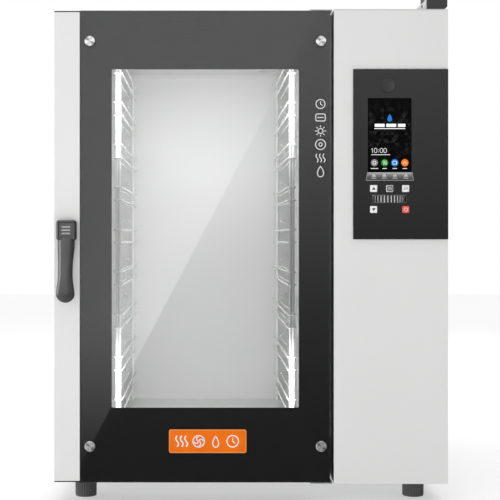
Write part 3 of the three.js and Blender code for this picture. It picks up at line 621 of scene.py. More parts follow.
class OVEN_OT_lever(bpy.types.Operator):
    """Shape the door lever: a square head with a raised rim, and a waisted grip with a round end"""

    bl_idname = "oven.lever"
    bl_label = "Door lever"

    def grip(self, x, z, low):
        """Width, front and back are smoothed lines down the grip; each section is a superellipse, and the
        last rings close as a quarter circle."""
        cap_start, power, around = 0.86, 2.1, 40
        down = np.array([0, 0.14, 0.4, 0.62, 0.84, 0.93, 1.0])
        width = np.array([34.6, 34, 29.2, 28.6, 36.8, 37.6, 36]) * MM
        front = np.array([-406, -411, -421.5, -424, -424.3, -423, -420.5]) * MM
        back = np.array([-383, -386, -400, -405, -407, -407, -408.5]) * MM
        cap = np.sin(np.linspace(0, math.pi / 2, 12)[1:])
        t = np.concatenate([np.linspace(0, cap_start, 36), cap_start + (1 - cap_start) * cap])
        fall = z - t * (z - low)
        smooth = [np.interp(t, down, values) for values in (width, front, back)]
        kernel = np.hanning(9) / np.hanning(9).sum()
        smooth = [np.convolve(np.pad(row, 4, mode="edge"), kernel, mode="valid") for row in smooth]
        into_cap = np.clip((t - cap_start) / (1.0002 - cap_start), 0, 1)
        close = np.sqrt(np.clip(1 - into_cap ** 2, 0.0004, 1))
        turn = np.linspace(0, TAU, around, endpoint=False)
        cos, sin = np.cos(turn), np.sin(turn)
        across = np.sign(cos) * np.abs(cos) ** (2 / power)
        deep = np.sign(sin) * np.abs(sin) ** (2 / power)
        half = (smooth[0] / 2 * close)[:, None]
        middle = ((smooth[1] + smooth[2]) / 2)[:, None]
        thick = ((smooth[2] - smooth[1]) / 2 * (0.45 + 0.55 * close))[:, None]
        fall = np.repeat(fall[:, None], around, 1)
        rings = np.stack([x + half * across, middle + thick * deep, fall], axis=-1)
        return ring_surface(rings)

    def execute(self, context):
        low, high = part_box("handle_lever")
        x = -367.7 * MM
        wide, tall = 40 * MM, 41.1 * MM
        z = high.z - tall / 2
        back = high.y / MM
        rim = np.array([(1.6, back), (0.2, back - 1.5), (0, -398), (0.6, -402.6), (1.8, -405.2), (3.2, -406),
                        (4.6, -405.7), (5.4, -404.6), (5.9, -403.4), (6.6, -403.3), (9.0, -403.9)]) * MM
        head = stepped(wide, tall, 6 * MM, x, z, rim)
        parts = [head, self.grip(x, z - tall * 0.36, low.z)]
        add_piece("lever_body", parts, "lever_plastic", "handle", ["handle_lever"])
        ridge = np.array([(0, -402.4), (0, -404.6), (0.5, -405.1), (1.2, -405.2)]) * MM
        bars = [stepped(17 * MM, 2.6 * MM, 1.25 * MM, x, z + k * 6.4 * MM, ridge) for k in (-1, 0, 1)]
        add_piece("lever_bars", bars, "pale_plastic_and_painted_rib_light", "handle")
        return {"FINISHED"}


class OVEN_OT_feet(bpy.types.Operator):
    """Turn the four ribbed feet"""

    bl_idname = "oven.feet"
    bl_label = "Feet"

    def execute(self, context):
        ribs = context.scene.oven.foot_ribs
        for name in ("foot_front_left", "foot_front_right", "foot_rear_left", "foot_rear_right"):
            low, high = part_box(name)
            centre = (low + high) / 2
            radius = (high.y - low.y) / 2
            turn = np.linspace(0, TAU, ribs * 8, endpoint=False)
            flute = np.clip(np.cos(ribs * turn) * 1.4, -1, 1) * 0.5 + 0.5
            # Each row is a share of the radius, a height in millimetres, and 1 where the flutes are cut.
            rows = np.array([[0.9, 0.0, 0], [0.965, 0.6, 0], [0.985, 2.0, 0], [0.985, 4.4, 0],
                             [1.0, 5.2, 1], [1.0, 28.0, 1], [0.985, 30.0, 0], [0.93, 31.0, 0],
                             [0.68, 33.0, 0], [0.68, 39.7, 0]])
            reach = radius * (rows[:, :1] - 0.055 * rows[:, 2:] * (1 - flute)[None, :])
            rings = np.stack([centre.x + reach * np.cos(turn), centre.y + reach * np.sin(turn),
                              np.repeat(rows[:, 1:2] * MM + low.z, len(turn), 1)], axis=-1)
            add_piece(f"{name}_ribbed", [ring_surface(rings)], "grey_plastic", "root", [name])
        return {"FINISHED"}


class OVEN_OT_scroll_wheel(bpy.types.Operator):
    """Turn the scroll wheel behind a thin frame around its slot: a black drum that paints the shade in the
    grooves, and light upright ribs that paint the light the slot keeps off them
    """

    bl_idname = "oven.scroll_wheel"
    bl_label = "Scroll wheel"

    def execute(self, context):
        low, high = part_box("scroll_wheel")
        centre = (low + high) / 2
        middle = (centre.x, centre.y, centre.z)
        ribs = context.scene.oven.wheel_ribs
        axle = 7
        tall = (high.z - low.z) / 2 / MM - axle
        profile = np.array([(3, -tall - axle), (3, -tall), (33.2, -tall), (34, -tall + 0.8), (34, tall - 0.8),
                            (33.2, tall), (3, tall), (3, tall + axle)]) * MM
        drum = turned(profile, middle, (0, 0, 1), 96)
        # Painted shade: the drum is black so that the gaps between the ribs read as deep shaded grooves.
        add_piece("scroll_wheel_drum", [drum], "black_print_and_painted_shade", "scroll_wheel", ["scroll_wheel"])
        turn = (np.arange(ribs) + 0.5) * TAU / ribs
        section = np.array([(33.6, -1.0), (35.6, -0.8), (35.95, -0.4), (35.95, 0.4), (35.6, 0.8),
                            (33.6, 1.0)]) * MM
        heights = np.array([-tall + 0.2, -tall + 0.9, tall - 0.9, tall - 0.2]) * MM
        cut = np.array([1.2, 0, 0, 1.2]) * MM
        bars = []
        for angle in turn:
            out = np.array([math.cos(angle), math.sin(angle)])
            along = np.array([-out[1], out[0]])
            flat = (section[None, :, :1] - cut[:, None, None] * (section[None, :, :1] > 34 * MM)) * out
            flat = flat + section[None, :, 1:] * along
            rise = np.repeat((centre.z + heights)[:, None, None], len(section), 1)
            bars.append(ring_surface(np.concatenate([flat + np.array(middle[:2]), rise], axis=-1)))
        # Painted light: the ribs are a light plastic so that they read as lit though the slot shades them.
        add_piece("scroll_wheel_ribs", bars, "pale_plastic_and_painted_rib_light", "scroll_wheel")
        border = rounded_outline(69.4 * MM, 15.4 * MM, 1.2 * MM, 4) + np.array([middle[0], middle[2]])
        frame_bar = stroke(border, 1.3 * MM, FRONT - 0.2 * MM, 1.8 * MM, True)
        add_piece("scroll_wheel_frame", [frame_bar], "frame_plastic", "root")
        return {"FINISHED"}


class OVEN_OT_keys(bpy.types.Operator):
    """Mould the five keycaps and print their signs"""

    bl_idname = "oven.keys"
    bl_label = "Keys"

    def signs(self, x, z, y):
        """Each key's sign as strokes and small plates in front of its cap."""
        front = y - 0.2 * MM

        def block(u, v, w, h):
            return plate(rounded_outline(w * MM, h * MM, 0.2 * MM, 2), x + u * MM, z + v * MM, y, front)
        arrow = np.array([(-3.6, -2.5), (3.6, -2.5), (0, 3.1)]) * MM
        house = rounded_outline(8.8 * MM, 8.4 * MM, 1.6 * MM, 5) + (x, z)
        return {
            "key_up": [plate(arrow, x, z, y, front)],
            "key_down": [plate(-arrow[::-1], x, z, y, front)],
            "key_home": [stroke(house, 2.0 * MM, y, closed=True), block(-1.1, 0.9, 1.6, 1.6),
                         block(1.5, 0.9, 1.2, 1.6), block(0, -1.6, 4.4, 1.2)],
            "key_program": [block(u, v, 1.9, 1.2) for u in (-2.8, 0, 2.8) for v in (-1.6, 0.2, 2.0)],
            "key_power": [stroke(arc(x, z, 3.6 * MM, math.pi * 0.68, math.pi * 2.32, 24), 0.9 * MM, y),
                          block(0, 2.6, 0.9, 4.2)],
        }

    def execute(self, context):
        finishes = {"key_home": "grey_key", "key_power": "red_key"}
        inks = {"key_power": "white_ink", "key_program": "grey_ink"}
        for name in ("key_up", "key_home", "key_program", "key_down", "key_power"):
            low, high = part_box(name)
            x, z = (low.x + high.x) / 2, (low.z + high.z) / 2
            size = high.x - low.x
            face = low.y / MM
            steps = np.array([(0.2, high.y / MM), (0.1, face + 4), (0.25, face + 1.2), (0.6, face + 0.45),
                              (1.2, face + 0.1), (2.2, face + 0.05), (4.0, face + 0.25)]) * MM
            cap = stepped(size, size, 1.9 * MM, x, z, steps)
            finish = finishes.get(name, "white_key")
            add_piece(f"{name}_cap", [cap], finish, name, [name])
            sign = self.signs(x, z, low.y + 0.3 * MM)[name]
            add_piece(f"{name}_sign", sign, inks.get(name, "black_print_and_painted_shade"), name)
        return {"FINISHED"}


class OVEN_OT_cap_screws(bpy.types.Operator):
    """Turn the four spun caps that hold the door glass, each on a dark washer"""

    bl_idname = "oven.cap_screws"
    bl_label = "Glass cap screws"

    def execute(self, context):
        for place in ("lower_left", "upper_left", "lower_right", "upper_right"):
            node = f"glass_screw_{place}"
            low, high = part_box(node)
            centre = ((low.x + high.x) / 2, FRONT, (low.z + high.z) / 2)
            cap = [(5.4, -4.8), (5.4, 0.9), (9.8, 0.9), (10.3, 1.3), (10.4, 1.9), (10.1, 2.4), (9.5, 2.7),
                   (8.6, 2.6), (4.4, 3.35), (3.9, 3.3), (3.6, 2.9), (3.2, 2.8), (0.4, 2.9)]
            washer = [(6.0, 0.1), (11.6, 0.1), (12.0, 0.5), (11.7, 0.85), (6.0, 0.85), (6.0, 0.1)]
            parts = [turned(np.array(cap) * MM, centre, (0, -1, 0), 56)]
            spun = add_piece(f"cap_screw_{place}", parts, "glint_painted_steel", "door", [node])
            # Painted highlight: a fan of light and dark sectors round each cap's axis, which its material
            # mixes into the base colour in place of reflected glints.
            spots = np.zeros(len(spun.data.vertices) * 3)
            spun.data.vertices.foreach_get("co", spots)
            spots = spots.reshape(-1, 3) - centre
            sheen = spun.data.attributes.new("sheen", "FLOAT", "POINT")
            angle = np.arctan2(spots[:, 2], spots[:, 0])
            sheen.data.foreach_set("value", 0.5 + 0.5 * np.cos(3 * angle - 1.1) * np.cos(angle + 0.4))
            ring = turned(np.array(washer) * MM, centre, (0, -1, 0), 56, capped=False)
            add_piece(f"cap_washer_{place}", [ring], "rubber", "door")
        return {"FINISHED"}


class OVEN_OT_badge(bpy.types.Operator):
    """Add the badge plate's raised rim and its cooking signs: steam, hot air, drop and timer"""

    bl_idname = "oven.badge"
    bl_label = "Badge"

    def execute(self, context):
        low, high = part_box("door_badge")
        x, z, y = (low.x + high.x) / 2, (low.z + high.z) / 2, low.y
        size = np.array([high.x - low.x, high.z - low.z])
        outline = rounded_outline(*(size - 1.4 * MM), 3.6 * MM) + (x, z)
        rim = stroke(outline, 1.3 * MM, y + 0.2 * MM, 0.45 * MM, True)
        add_piece("badge_rim", [rim], "orange_rim", "door")
        line = 2.6 * MM
        signs = [stroke(wave(x + (u - 52) * MM, z, 22 * MM, 2.6 * MM), line, y) for u in (-9, 0, 9)]
        fan = x - 18 * MM
        signs.append(stroke(arc(fan, z, 11.5 * MM, steps=40), line * 0.8, y, closed=True))
        for turn in np.arange(4) * math.pi / 2:
            hub_x, hub_z = fan + 4.6 * MM * math.cos(turn), z + 4.6 * MM * math.sin(turn)
            blade = arc(hub_x, hub_z, 4.2 * MM, turn, turn + math.pi, 14)
            signs.append(stroke(blade, line * 0.8, y))
        drop = droplet(x + 16 * MM, z - 0.8 * MM, 7.6 * MM, 11 * MM)
        signs.append(stroke(drop, line * 0.8, y, closed=True))
        clock = x + 50 * MM
        signs.append(stroke(arc(clock, z, 11.5 * MM, steps=40), line * 0.8, y, closed=True))
        signs.append(stroke([(clock, z + 7.5 * MM), (clock, z), (clock, z - 0.01 * MM)], line * 0.7, y))
        hand = [(clock, z), (clock + 3 * MM, z - 2.4 * MM), (clock + 5.4 * MM, z - 4.2 * MM)]
        signs.append(stroke(hand, line * 0.7, y))
        add_piece("badge_signs", signs, "white_ink", "door")
        return {"FINISHED"}


class OVEN_OT_display(bpy.types.Operator):
    """Fill the display: faceted background, emblem, clock, date bar and four round menu icons"""

    bl_idname = "oven.display"
    bl_label = "Display"
    COLUMNS = 9
    ROWS = 16

    def facets(self, low, high, y):
        """A triangle net: cell (i, j) splits into two triangles that share a slanted edge, and its tone
        comes from sines of its place, so it is the same each time."""
        width = (high.x - low.x) / self.COLUMNS
        height = (high.z - low.z) * 0.86 / self.ROWS
        i, j, half = [g.ravel() for g in np.meshgrid(np.arange(self.COLUMNS), np.arange(self.ROWS), [0, 1])]
        lean = (j % 2) * 0.5
        left = np.clip(i + lean - 0.5 * half, 0, self.COLUMNS)
        right = np.clip(i + 1 + lean - 0.5 * half, 0, self.COLUMNS)
        tip = np.clip(i + 0.5 + lean - 0.5 * half, 0, self.COLUMNS)
        base = j + half
        apex = j + 1 - half
        flat = np.stack([np.stack(pair, -1) for pair in ((left, base), (right, base), (tip, apex))], 1)
        corners = np.stack([low.x + flat[..., 0] * width, np.full(flat.shape[:2], y),
                            high.z - 2 * MM - flat[..., 1] * height], axis=-1)
        tone = np.sin(i * 12.9 + j * 78.2 + half * 37.7) * 43758.5
        tone = tone - np.floor(tone)
        down = (j + 0.5) / self.ROWS
        envelope = np.sin(math.pi * np.clip(down * 1.05 - 0.02, 0, 1)) ** 0.8
        keep = (tone > 0.42) & (right - left > 0.4)
        return corners[keep], ((tone - 0.35) ** 2 * 1.6 * envelope)[keep]

    def execute(self, context):
        low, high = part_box("display")
        y = low.y - 0.05 * MM
        x = (low.x + high.x) / 2
        corners, tone = self.facets(low, high, y)
        mesh = bpy.data.meshes.new("screen_facets")
        faces = np.arange(len(corners) * 3).reshape(-1, 3).tolist()
        mesh.from_pydata(corners.reshape(-1, 3).tolist(), [], faces)
        values = mesh.attributes.new("tone", "FLOAT", "FACE")
        values.data.foreach_set("value", tone)
        mesh.materials.append(FINISHES["facets"])
        net = bpy.data.objects.new("screen_facets", mesh)
        bpy.context.scene.collection.objects.link(net)
        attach(net, "root")

        y -= 0.05 * MM
        thin = 0.1 * MM
        front = y - 1.5 * thin
        top = high.z

        def bar(wide, tall, corner, across, up):
            return plate(rounded_outline(wide * MM, tall * MM, corner * MM), across, up, y, y - thin)
        emblem = plate(droplet(0, 0, 6 * MM, 7.6 * MM), x, top - 39 * MM, y, y - thin)
        add_piece("screen_emblem", [emblem], "lit_blue", "root")
        words = [bar(wide, 6.4, 1.2, x + u * MM, top - 54 * MM) for u, wide in ((-20, 20), (3, 20), (24, 15))]
        words.append(bar(62, 1.6, 0.7, x, top - 60.4 * MM))
        add_piece("screen_bars", words, "lit_white", "root")
        self.clock(low.x + 6.2 * MM, top - 109 * MM, y)
        labels = [bar(38, 1.1, 0.5, low.x + 25 * MM, top - 112.6 * MM)]
        icons = {"grey": 246.4 * MM, "green": 266.8 * MM, "blue": 287 * MM, "orange": 307.2 * MM}
        z = top - 128.6 * MM
        for name, across in icons.items():
            add_piece(f"screen_icon_{name}", [disc(across, z, 7.2 * MM, y, y - thin)], f"lit_{name}", "root")
            labels.append(bar(15 if name == "grey" else 9, 1.2, 0.5, across, z - 11.5 * MM))
        signs = [stroke(arc(icons["grey"], z, 3.2 * MM, steps=24), 1.1 * MM, front, thin, True)]
        signs += [stroke(wave(icons["green"] + u * MM, z, 8 * MM, 1.0 * MM, 16), 0.9 * MM, front, thin)
                  for u in (-2.2, 0.6, 3.4)]
        tablet = rounded_outline(7.6 * MM, 6 * MM, 1.2 * MM, 4) + (icons["blue"], z)
        signs.append(stroke(tablet, 1.0 * MM, front, thin, True))
        peak = np.array([(-3.4, -2.6), (0, 3.4), (3.4, -2.6)]) * MM + (icons["orange"], z)
        signs.append(stroke(peak, 1.1 * MM, front, thin))
        add_piece("screen_labels", labels, "lit_white", "root")
        add_piece("screen_icon_signs", signs, "lit_white", "root")
        return {"FINISHED"}

    def clock(self, x, z, y):
        """The time in plain digits drawn with strokes: an upright with a flag, rounded loops and two dots."""
        tall, line, thin = 9.6 * MM, 0.85 * MM, 0.1 * MM
        stem = x + 2.4 * MM
        one = [(x + 0.2 * MM, z + tall - 2 * MM), (stem, z + tall - 0.4 * MM), (stem, z)]
        digits = [stroke(one, line, y, thin)]
        for left in (6, 17.6, 25):
            loop = rounded_outline(5.4 * MM, tall - line, 2.6 * MM, 6) + (x + (left + 2.7) * MM, z + tall / 2)
            digits.append(stroke(loop, line, y, thin, True))
        digits += [disc(x + 14.6 * MM, z + height * MM, 0.6 * MM, y, y - thin, 12) for height in (2.2, 6.6)]
        add_piece("screen_clock", digits, "lit_white", "root")


class OVEN_OT_soft_keys(bpy.types.Operator):
    """Set four small domes with underlines on the sloped ledge"""

    bl_idname = "oven.soft_keys"
    bl_label = "Soft keys"

    def execute(self, context):
        low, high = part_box("soft_key_ledge")
        parts, lines = [], []
        for across in (245, 266, 287, 309):
            x = across * MM
            z = low.z + 9.8 * MM
            y = low.y + 1.1 * MM
            foot = np.array([(-4.4, -3.4), (4.4, -3.4)]) * MM
            outline = np.concatenate([arc(0, 0, 3.4 * MM, 0, math.pi, 16), foot])
            parts.append(plate(outline, x, z, y + 1.6 * MM, y))
            underline = rounded_outline(9.8 * MM, 1.4 * MM, 0.4 * MM, 3)
            lines.append(plate(underline, x, z - 4.9 * MM, y + 0.6 * MM, y - 0.6 * MM))
        add_piece("soft_key_domes", parts, "pale_ink", "root")
        edge = np.array([(low.x + 2.8 * MM, high.z), (low.x + 0.4 * MM, low.z + 0.4 * MM),
                         (high.x - 0.4 * MM, low.z + 0.4 * MM), (high.x - 2.8 * MM, high.z)])
        for start, end in zip(edge[:-1], edge[1:]):
            lines.append(stroke(np.linspace(start, end, 3), 0.6 * MM, low.y + 0.2 * MM, 0.6 * MM))
        add_piece("soft_key_lines", lines, "pale_ink", "root")
        return {"FINISHED"}


class OVEN_OT_port_lid(bpy.types.Operator):
    """Turn the round port lid with a chamfered edge, a shallow dish and a plain sunk sign"""

    bl_idname = "oven.port_lid"
    bl_label = "Port lid"

    def execute(self, context):
        low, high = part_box("port_cover")
        centre = ((low.x + high.x) / 2, high.y, (low.z + high.z) / 2)
        r = (high.z - low.z) / 2 / MM
        profile = np.array([(r - 0.5, 0), (r, 0.4), (r, 2.6), (r - 0.5, 3.4), (r - 1.4, 3.7), (r - 2.2, 3.6),
                            (r - 2.8, 3.2), (0.4, 3.1)]) * MM
        lid = turned(profile, centre, (0, -1, 0), 64)
        add_piece("port_lid", [lid], "lid_plastic", "port_cover", ["port_cover"])
        x, y, z = centre[0], centre[1] - 3.05 * MM, centre[2] - 1 * MM
        line = 0.8 * MM
        mouth = rounded_outline(11 * MM, 4.6 * MM, 1.4 * MM, 5) + (x, z)
        tongue = np.linspace((x - 3.2 * MM, z), (x + 3.2 * MM, z), 3)
        sign = [stroke(mouth, line, y, closed=True), stroke(tongue, line, y)]
        add_piece("port_lid_sign", sign, "black_print_and_painted_shade", "port_cover")
        return {"FINISHED"}


class OVEN_OT_door_signs(bpy.types.Operator):
    """Print a column of outlined cooking signs up the right side of the door glass"""

    bl_idname = "oven.door_signs"
    bl_label = "Door signs"

    def execute(self, context):
        x = 139 * MM
        y = FRONT - 0.02 * MM
        line = 1.7 * MM
        place = [(665 + 27 * step) * MM for step in range(6)]
        parts = [stroke(droplet(x, place[0], 8 * MM, 10.5 * MM), line, y, closed=True)]
        parts += [stroke(wave(x + u * MM, place[1], 17 * MM, 2.2 * MM), line, y) for u in (-7, 0, 7)]
        parts.append(stroke(arc(x, place[2], 10 * MM, steps=40), line, y, closed=True))
        parts.append(stroke(arc(x, place[2], 3.4 * MM, steps=24), line, y, closed=True))
        parts.append(stroke(arc(x, place[3], 5 * MM, steps=30), line, y, closed=True))
        for turn in np.arange(8) * math.pi / 4:
            way = np.array([math.cos(turn), math.sin(turn)])
            near, far = ((x, place[3]) + way * reach for reach in (7.6 * MM, 11 * MM))
            parts.append(stroke(np.linspace(near, far, 3), line, y))
        parts.append(stroke(rounded_outline(19 * MM, 14 * MM, 3 * MM) + (x, place[4]), line, y, closed=True))
        parts.append(stroke(np.linspace((x - 6 * MM, place[4]), (x + 6 * MM, place[4]), 3), line, y))
        parts.append(stroke(arc(x, place[5], 9 * MM, steps=40), line, y, closed=True))
        hands = [(x, place[5] + 5.5 * MM), (x, place[5]), (x + 4 * MM, place[5] - 3 * MM)]
        parts.append(stroke(hands, line, y))
        add_piece("door_signs", parts, "white_ink", "door")
        return {"FINISHED"}


class OVEN_OT_fittings(bpy.types.Operator):
    """Turn the rear and top fittings: drain, water inlet, cable gland and vent stack"""

    bl_idname = "oven.fittings"
    bl_label = "Fittings"

    def execute(self, context):
        self.drain()
        self.water_inlet()
        self.gland()
        self.vent()
        return {"FINISHED"}

    def drain(self):
        low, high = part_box("drain_pipe")
        x, radius = (low.x + high.x) / 2, (high.x - low.x) / 2
        r = radius / MM
        y, z = 10 * MM, low.z + radius
        route = filleted([(x, y, high.z), (x, y, z), (x, high.y - 1 * MM, z)], 38 * MM, 16)
        section = np.array([(r + 1.6, 0), (r + 1.6, 4), (r - 2, 4), (r - 2, 0), (r + 1.6, 0)]) * MM
        lip = turned(section, (x, high.y - 4 * MM, z), (0, 1, 0), 40, capped=False)
        inside = turned(np.array([(r - 3, 0), (r - 3, 0.5)]) * MM, (x, high.y - 1.2 * MM, z), (0, 1, 0), 40)
        elbow = [tube(route, radius, 40, (1, 0, 0)), lip]
        add_piece("drain_elbow", elbow, "zinc_steel", "root", ["drain_pipe"])
        add_piece("drain_mouth", [inside], "rubber", "root")

    def water_inlet(self):
        """A square body with a round coil on top, and a threaded nipple that looks out of the back."""
        low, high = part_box("water_valve")
        x, z = (low.x + high.x) / 2, 160 * MM
        front, back = low.y / MM, 381
        steps = np.array([(1, front), (0, front + 1), (0, back), (1, back + 1)]) * MM
        body = stepped(32 * MM, 32 * MM, 4 * MM, x, z, steps)
        profile = np.array([(12, 0), (13, 1), (13, 36), (12, 37), (5, 37), (5, 39)]) * MM
        coil = turned(profile, (x, 365 * MM, z + 16 * MM), (0, 0, 1), 32)
        turns = np.arange(0, 15)
        ridge = np.where(turns % 2, 10.5, 9.4)
        thread = np.concatenate([[(12.5, 1), (12.5, 8)], np.stack([ridge, 18 + 1.65 * turns], -1),
                                 [(9.2, 43.4), (6.4, 43.4), (6.4, 24), (0.3, 24)]]) * MM
        nipple = turned(thread, (x, back * MM, z), (0, 1, 0), 40)
        add_piece("water_inlet", [body, coil, nipple], "brass", "root", ["water_valve"])

    def gland(self):
        low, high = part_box("cable_gland")
        x, z = (low.x + high.x) / 2, (low.z + high.z) / 2
        nut = np.array([(14, 0), (15, 0.8), (15, 7.2), (14, 8)]) * MM
        profile = np.array([(9.5, -15), (9.5, 0), (11.5, 8), (11.5, 13), (10, 17.5), (7.5, 19), (6, 18.4),
                            (5.6, 12), (0.3, 12)]) * MM
        hexagon = turned(nut, (x, 400.3 * MM, z), (0, 1, 0), 6)
        dome = turned(profile, (x, 400.6 * MM, z), (0, 1, 0), 36)
        add_piece("gland_dome", [hexagon, dome], "black_plastic", "root", ["cable_gland"])

    def vent(self):
        """A pipe with a rolled rim, and a flanged collar where it leaves the roof."""
        low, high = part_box("vent_pipe")
        x, y, r = (low.x + high.x) / 2, (low.y + high.y) / 2, (high.x - low.x) / 2 / MM
        rise = (high.z - low.z) / MM
        wall = np.array([(r - 2, 0), (r, 0), (r, rise - 3), (r - 0.3, rise - 1), (r - 1, rise),
                         (r - 1.7, rise - 1), (r - 2, rise - 3), (r - 2, 0)]) * MM
        flange = np.array([(r + 0.1, 0), (r + 9, 0), (r + 9, 1.2), (r + 2.4, 1.6), (r + 0.6, 4.4),
                           (r + 0.1, 4.4), (r + 0.1, 0)]) * MM
        stack = turned(wall, (x, y, low.z), (0, 0, 1), 64, capped=False)
        collar = turned(flange, (x, y, 990.05 * MM), (0, 0, 1), 64, capped=False)
        add_piece("vent_stack", [stack], "satin_steel", "root", ["vent_pipe"])
        add_piece("vent_collar", [collar], "zinc_steel", "root")


class OVEN_OT_fixings(bpy.types.Operator):
    """Fit the casing's dome-head screws along the back, side and column sheets"""

    bl_idname = "oven.fixings"
    bl_label = "Casing screws"

    def heads(self, places, axis):
        """One dome with a round recess for each place."""
        dome = np.array([(4.2, -0.4), (4.2, 0.5), (3.8, 1.3), (2.9, 1.9), (1.8, 2.15), (1.7, 1.0),
                         (0.2, 0.9)]) * MM
        return [turned(dome, place, axis, 24) for place in places]

    def execute(self, context):
        low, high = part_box("back_panel")
        across = np.linspace(low.x + 12 * MM, high.x - 12 * MM, 6)
        rise = np.linspace(low.z + 34 * MM, high.z - 12 * MM, 6)
        back = [(x, high.y, z) for x in across for z in (rise[0], rise[-1])]
        back += [(x, high.y, z) for x in (across[0], across[-1]) for z in rise[1:-1]]
        add_piece("back_screws", self.heads(back, (0, 1, 0)), "spun_steel", "root")
        for side, name in ((-1, "left_side_panel"), (1, "right_side_panel")):
            low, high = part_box(name)
            x = high.x if side > 0 else low.x
            spots = [(x, y, z) for y in (low.y + 18 * MM, high.y - 18 * MM) for z in
                     np.linspace(low.z + 20 * MM, high.z - 20 * MM, 4)]
            add_piece(f"{name}_screws", self.heads(spots, (side, 0, 0)), "spun_steel", "root")
        return {"FINISHED"}


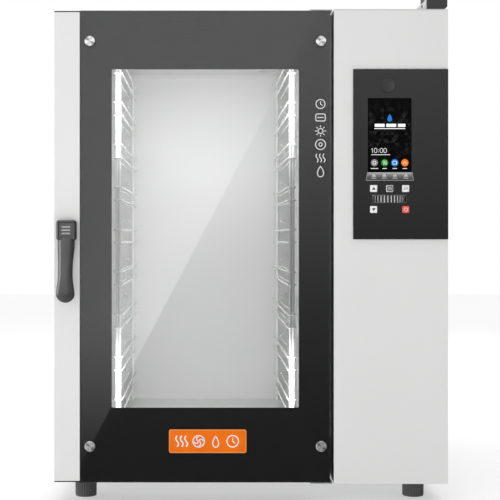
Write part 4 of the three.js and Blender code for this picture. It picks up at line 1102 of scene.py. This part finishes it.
class OVEN_OT_stage(bpy.types.Operator):
    """Set the pale floor, the soft studio lights, the reflector card and the camera"""

    bl_idname = "oven.stage"
    bl_label = "Stage"
    LENS_X = -92 * MM
    EYE = 536 * MM
    DISTANCE = 2600 * MM
    CARD = 1220 * MM
    # Place, target, width and height in metres, power in watts, and whether mirrors and glass miss it.
    LIGHTS = {
        "key_light": ((-1.8, -3.2, 1.4), (0, 0, 0.5), (1.6, 2.0), 8, False),
        "side_light": ((-2.6, -0.95, 0.9), (-0.3, -0.4, 0.5), (0.9, 1.8), 24, False),
        "back_light": ((1.2, 3.0, 2.6), (0, 0, 0.5), (2.4, 2.0), 30, False),
        "low_light": ((0.2, -2.0, 0.2), (0.1, -0.4, 0.3), (2.2, 0.3), 2.3, True),
        "cavity_high": ((-0.092, -0.292, 0.8), (-0.092, 0.3, 0.82), (0.38, 0.16), 1.0, True),
        "cavity_low": ((-0.092, -0.292, 0.22), (-0.092, 0.3, 0.2), (0.38, 0.16), 1.1, True),
        "cavity_lamp": ((-0.092, -0.05, 0.91), (-0.092, -0.05, 0.2), (0.3, 0.4), 0.4, True),
    }

    def area(self, name, place, target, size, power, hidden):
        """A rectangular soft light at place, facing target."""
        lamp = bpy.data.lights.new(name, "AREA")
        lamp.shape = "RECTANGLE"
        lamp.size, lamp.size_y = size
        lamp.energy = power
        holder = bpy.data.objects.new(name, lamp)
        holder.location = place
        way = holder.location - type(holder.location)(target)
        holder.rotation_euler = way.to_track_quat("Z", "Y").to_euler()
        bpy.context.scene.collection.objects.link(holder)
        holder.visible_camera = False
        if hidden:
            holder.visible_glossy = False
            holder.visible_transmission = False

    def flat(self, name, corners, material):
        """A stage surface of one face."""
        mesh = bpy.data.meshes.new(name)
        mesh.from_pydata(corners, [], [[0, 1, 2, 3]])
        mesh.materials.append(material)
        holder = bpy.data.objects.new(name, mesh)
        bpy.context.scene.collection.objects.link(holder)
        return holder

    def card(self):
        """A glowing card that polished surfaces and glass see: it fades towards its foot, and it is brighter
        on the left of a slanted edge, which runs from top to foot as mirrored in the door glass."""
        grow = 1 + self.CARD / self.DISTANCE
        eye = np.array([self.LENS_X, self.EYE])
        top, foot = (eye + (spot * MM - eye) * grow for spot in (np.array([140, 990]), np.array([-338, 82])))
        slope = float((top - foot)[0] / (top - foot)[1])
        made = Finish("card", Base_Color=grey(0), Roughness=1.0, Emission_Strength=1.3)
        across, height = made.along("X"), made.along("Z")
        rise = made.share(height, float(foot[1]), float(top[1]))
        dim = made.ramp(rise, [(0.0, grey(0.09)), (0.17, grey(0.13)), (0.33, grey(0.22)), (0.5, grey(0.4)),
                               (0.67, grey(0.62)), (0.83, grey(0.82)), (1.0, grey(0.95))])
        edge = (height - float(top[1])) * slope + float(top[0])
        bright = (edge - across).above(0.0)
        glow = made.ramp(made.share(across, -0.62, 0.1), [(0.0, grey(0.8)), (0.3, grey(1.0))])
        fade = made.share(rise, -0.02, 0.3)
        made.drive(Emission_Color=made.mixed(bright, dim, made.mixed(fade, grey(0.1), glow)))
        y = FRONT - self.CARD
        corners = [(-0.6, y, -0.3), (0.75, y, -0.3), (0.75, y, 1.35), (-0.6, y, 1.35)]
        holder = self.flat("reflector_card", corners, made.material)
        for kind in ("camera", "diffuse", "shadow"):
            setattr(holder, f"visible_{kind}", False)

    def execute(self, context):
        scene = context.scene
        floor = Finish("floor", Base_Color=grey(0.6), Specular_IOR_Level=0.1, Emission_Color=grey(1.0),
                       Emission_Strength=0.42)
        floor.drive(Roughness=floor.noise(3.0) * 0.1 + 0.6)
        ground = self.flat("floor", [(-9, -9, 0), (9, -9, 0), (9, 9, 0), (-9, 9, 0)], floor.material)
        ground.visible_glossy = False
        ground.visible_transmission = False
        self.card()
        for name, light in self.LIGHTS.items():
            self.area(name, *light)
        overhead = bpy.data.lights.new("overhead_light", "SUN")
        overhead.energy = 1.0
        overhead.angle = math.radians(70)
        above = bpy.data.objects.new("overhead_light", overhead)
        scene.collection.objects.link(above)
        world = bpy.data.worlds.new("studio")
        world.use_nodes = True
        sky = Nodes(world.node_tree)
        way = sky.add("ShaderNodeTexCoord", output="Generated")
        across = sky.add("ShaderNodeSeparateXYZ", None, {"Vector": way}, "X")
        seen = sky.add("ShaderNodeLightPath", output="Is Camera Ray")
        around = 0.56 - across * 0.3
        background = sky.tree.nodes["Background"]
        background.inputs["Color"].default_value = grey(1.0)
        plug(sky.tree, background.inputs["Strength"], seen + (1 - seen) * around)
        scene.world = world
        scene.view_settings.view_transform = "Standard"
        lens = bpy.data.cameras.new("camera")
        lens.sensor_width = 36
        lens.lens = 36 * self.DISTANCE
        lens.shift_x = 0.09
        lens.shift_y = -0.028
        camera = bpy.data.objects.new("camera", lens)
        camera.location = (self.LENS_X, FRONT - self.DISTANCE, self.EYE)
        camera.rotation_euler = (math.pi / 2, 0, 0)
        scene.collection.objects.link(camera)
        scene.camera = camera
        return {"FINISHED"}


OPERATORS = (OVEN_OT_stage, OVEN_OT_frame_finish, OVEN_OT_racks, OVEN_OT_lever, OVEN_OT_feet,
             OVEN_OT_scroll_wheel, OVEN_OT_keys, OVEN_OT_cap_screws, OVEN_OT_badge, OVEN_OT_display,
             OVEN_OT_soft_keys, OVEN_OT_port_lid, OVEN_OT_door_signs, OVEN_OT_fittings, OVEN_OT_fixings)


class OVEN_PT_panel(bpy.types.Panel):
    """Lists the oven's settings and operators in the sidebar"""

    bl_idname = "OVEN_PT_panel"
    bl_label = "Combi Steamer Oven"
    bl_space_type = "VIEW_3D"
    bl_region_type = "UI"
    bl_category = "Oven"

    def draw(self, context):
        for name in OvenSettings.__annotations__:
            self.layout.prop(context.scene.oven, name)
        for operator in OPERATORS:
            self.layout.operator(operator.bl_idname)


def register():
    for kind in (OvenSettings, *OPERATORS, OVEN_PT_panel):
        bpy.utils.register_class(kind)
    bpy.types.Scene.oven = bpy.props.PointerProperty(type=OvenSettings)


def unregister():
    del bpy.types.Scene.oven
    for kind in reversed((OvenSettings, *OPERATORS, OVEN_PT_panel)):
        bpy.utils.unregister_class(kind)


def main():
    register()
    for operator in OPERATORS:
        group, name = operator.bl_idname.split(".")
        getattr(getattr(bpy.ops, group), name)()
    bpy.context.view_layer.update()


if __name__ == "__main__":
    main()
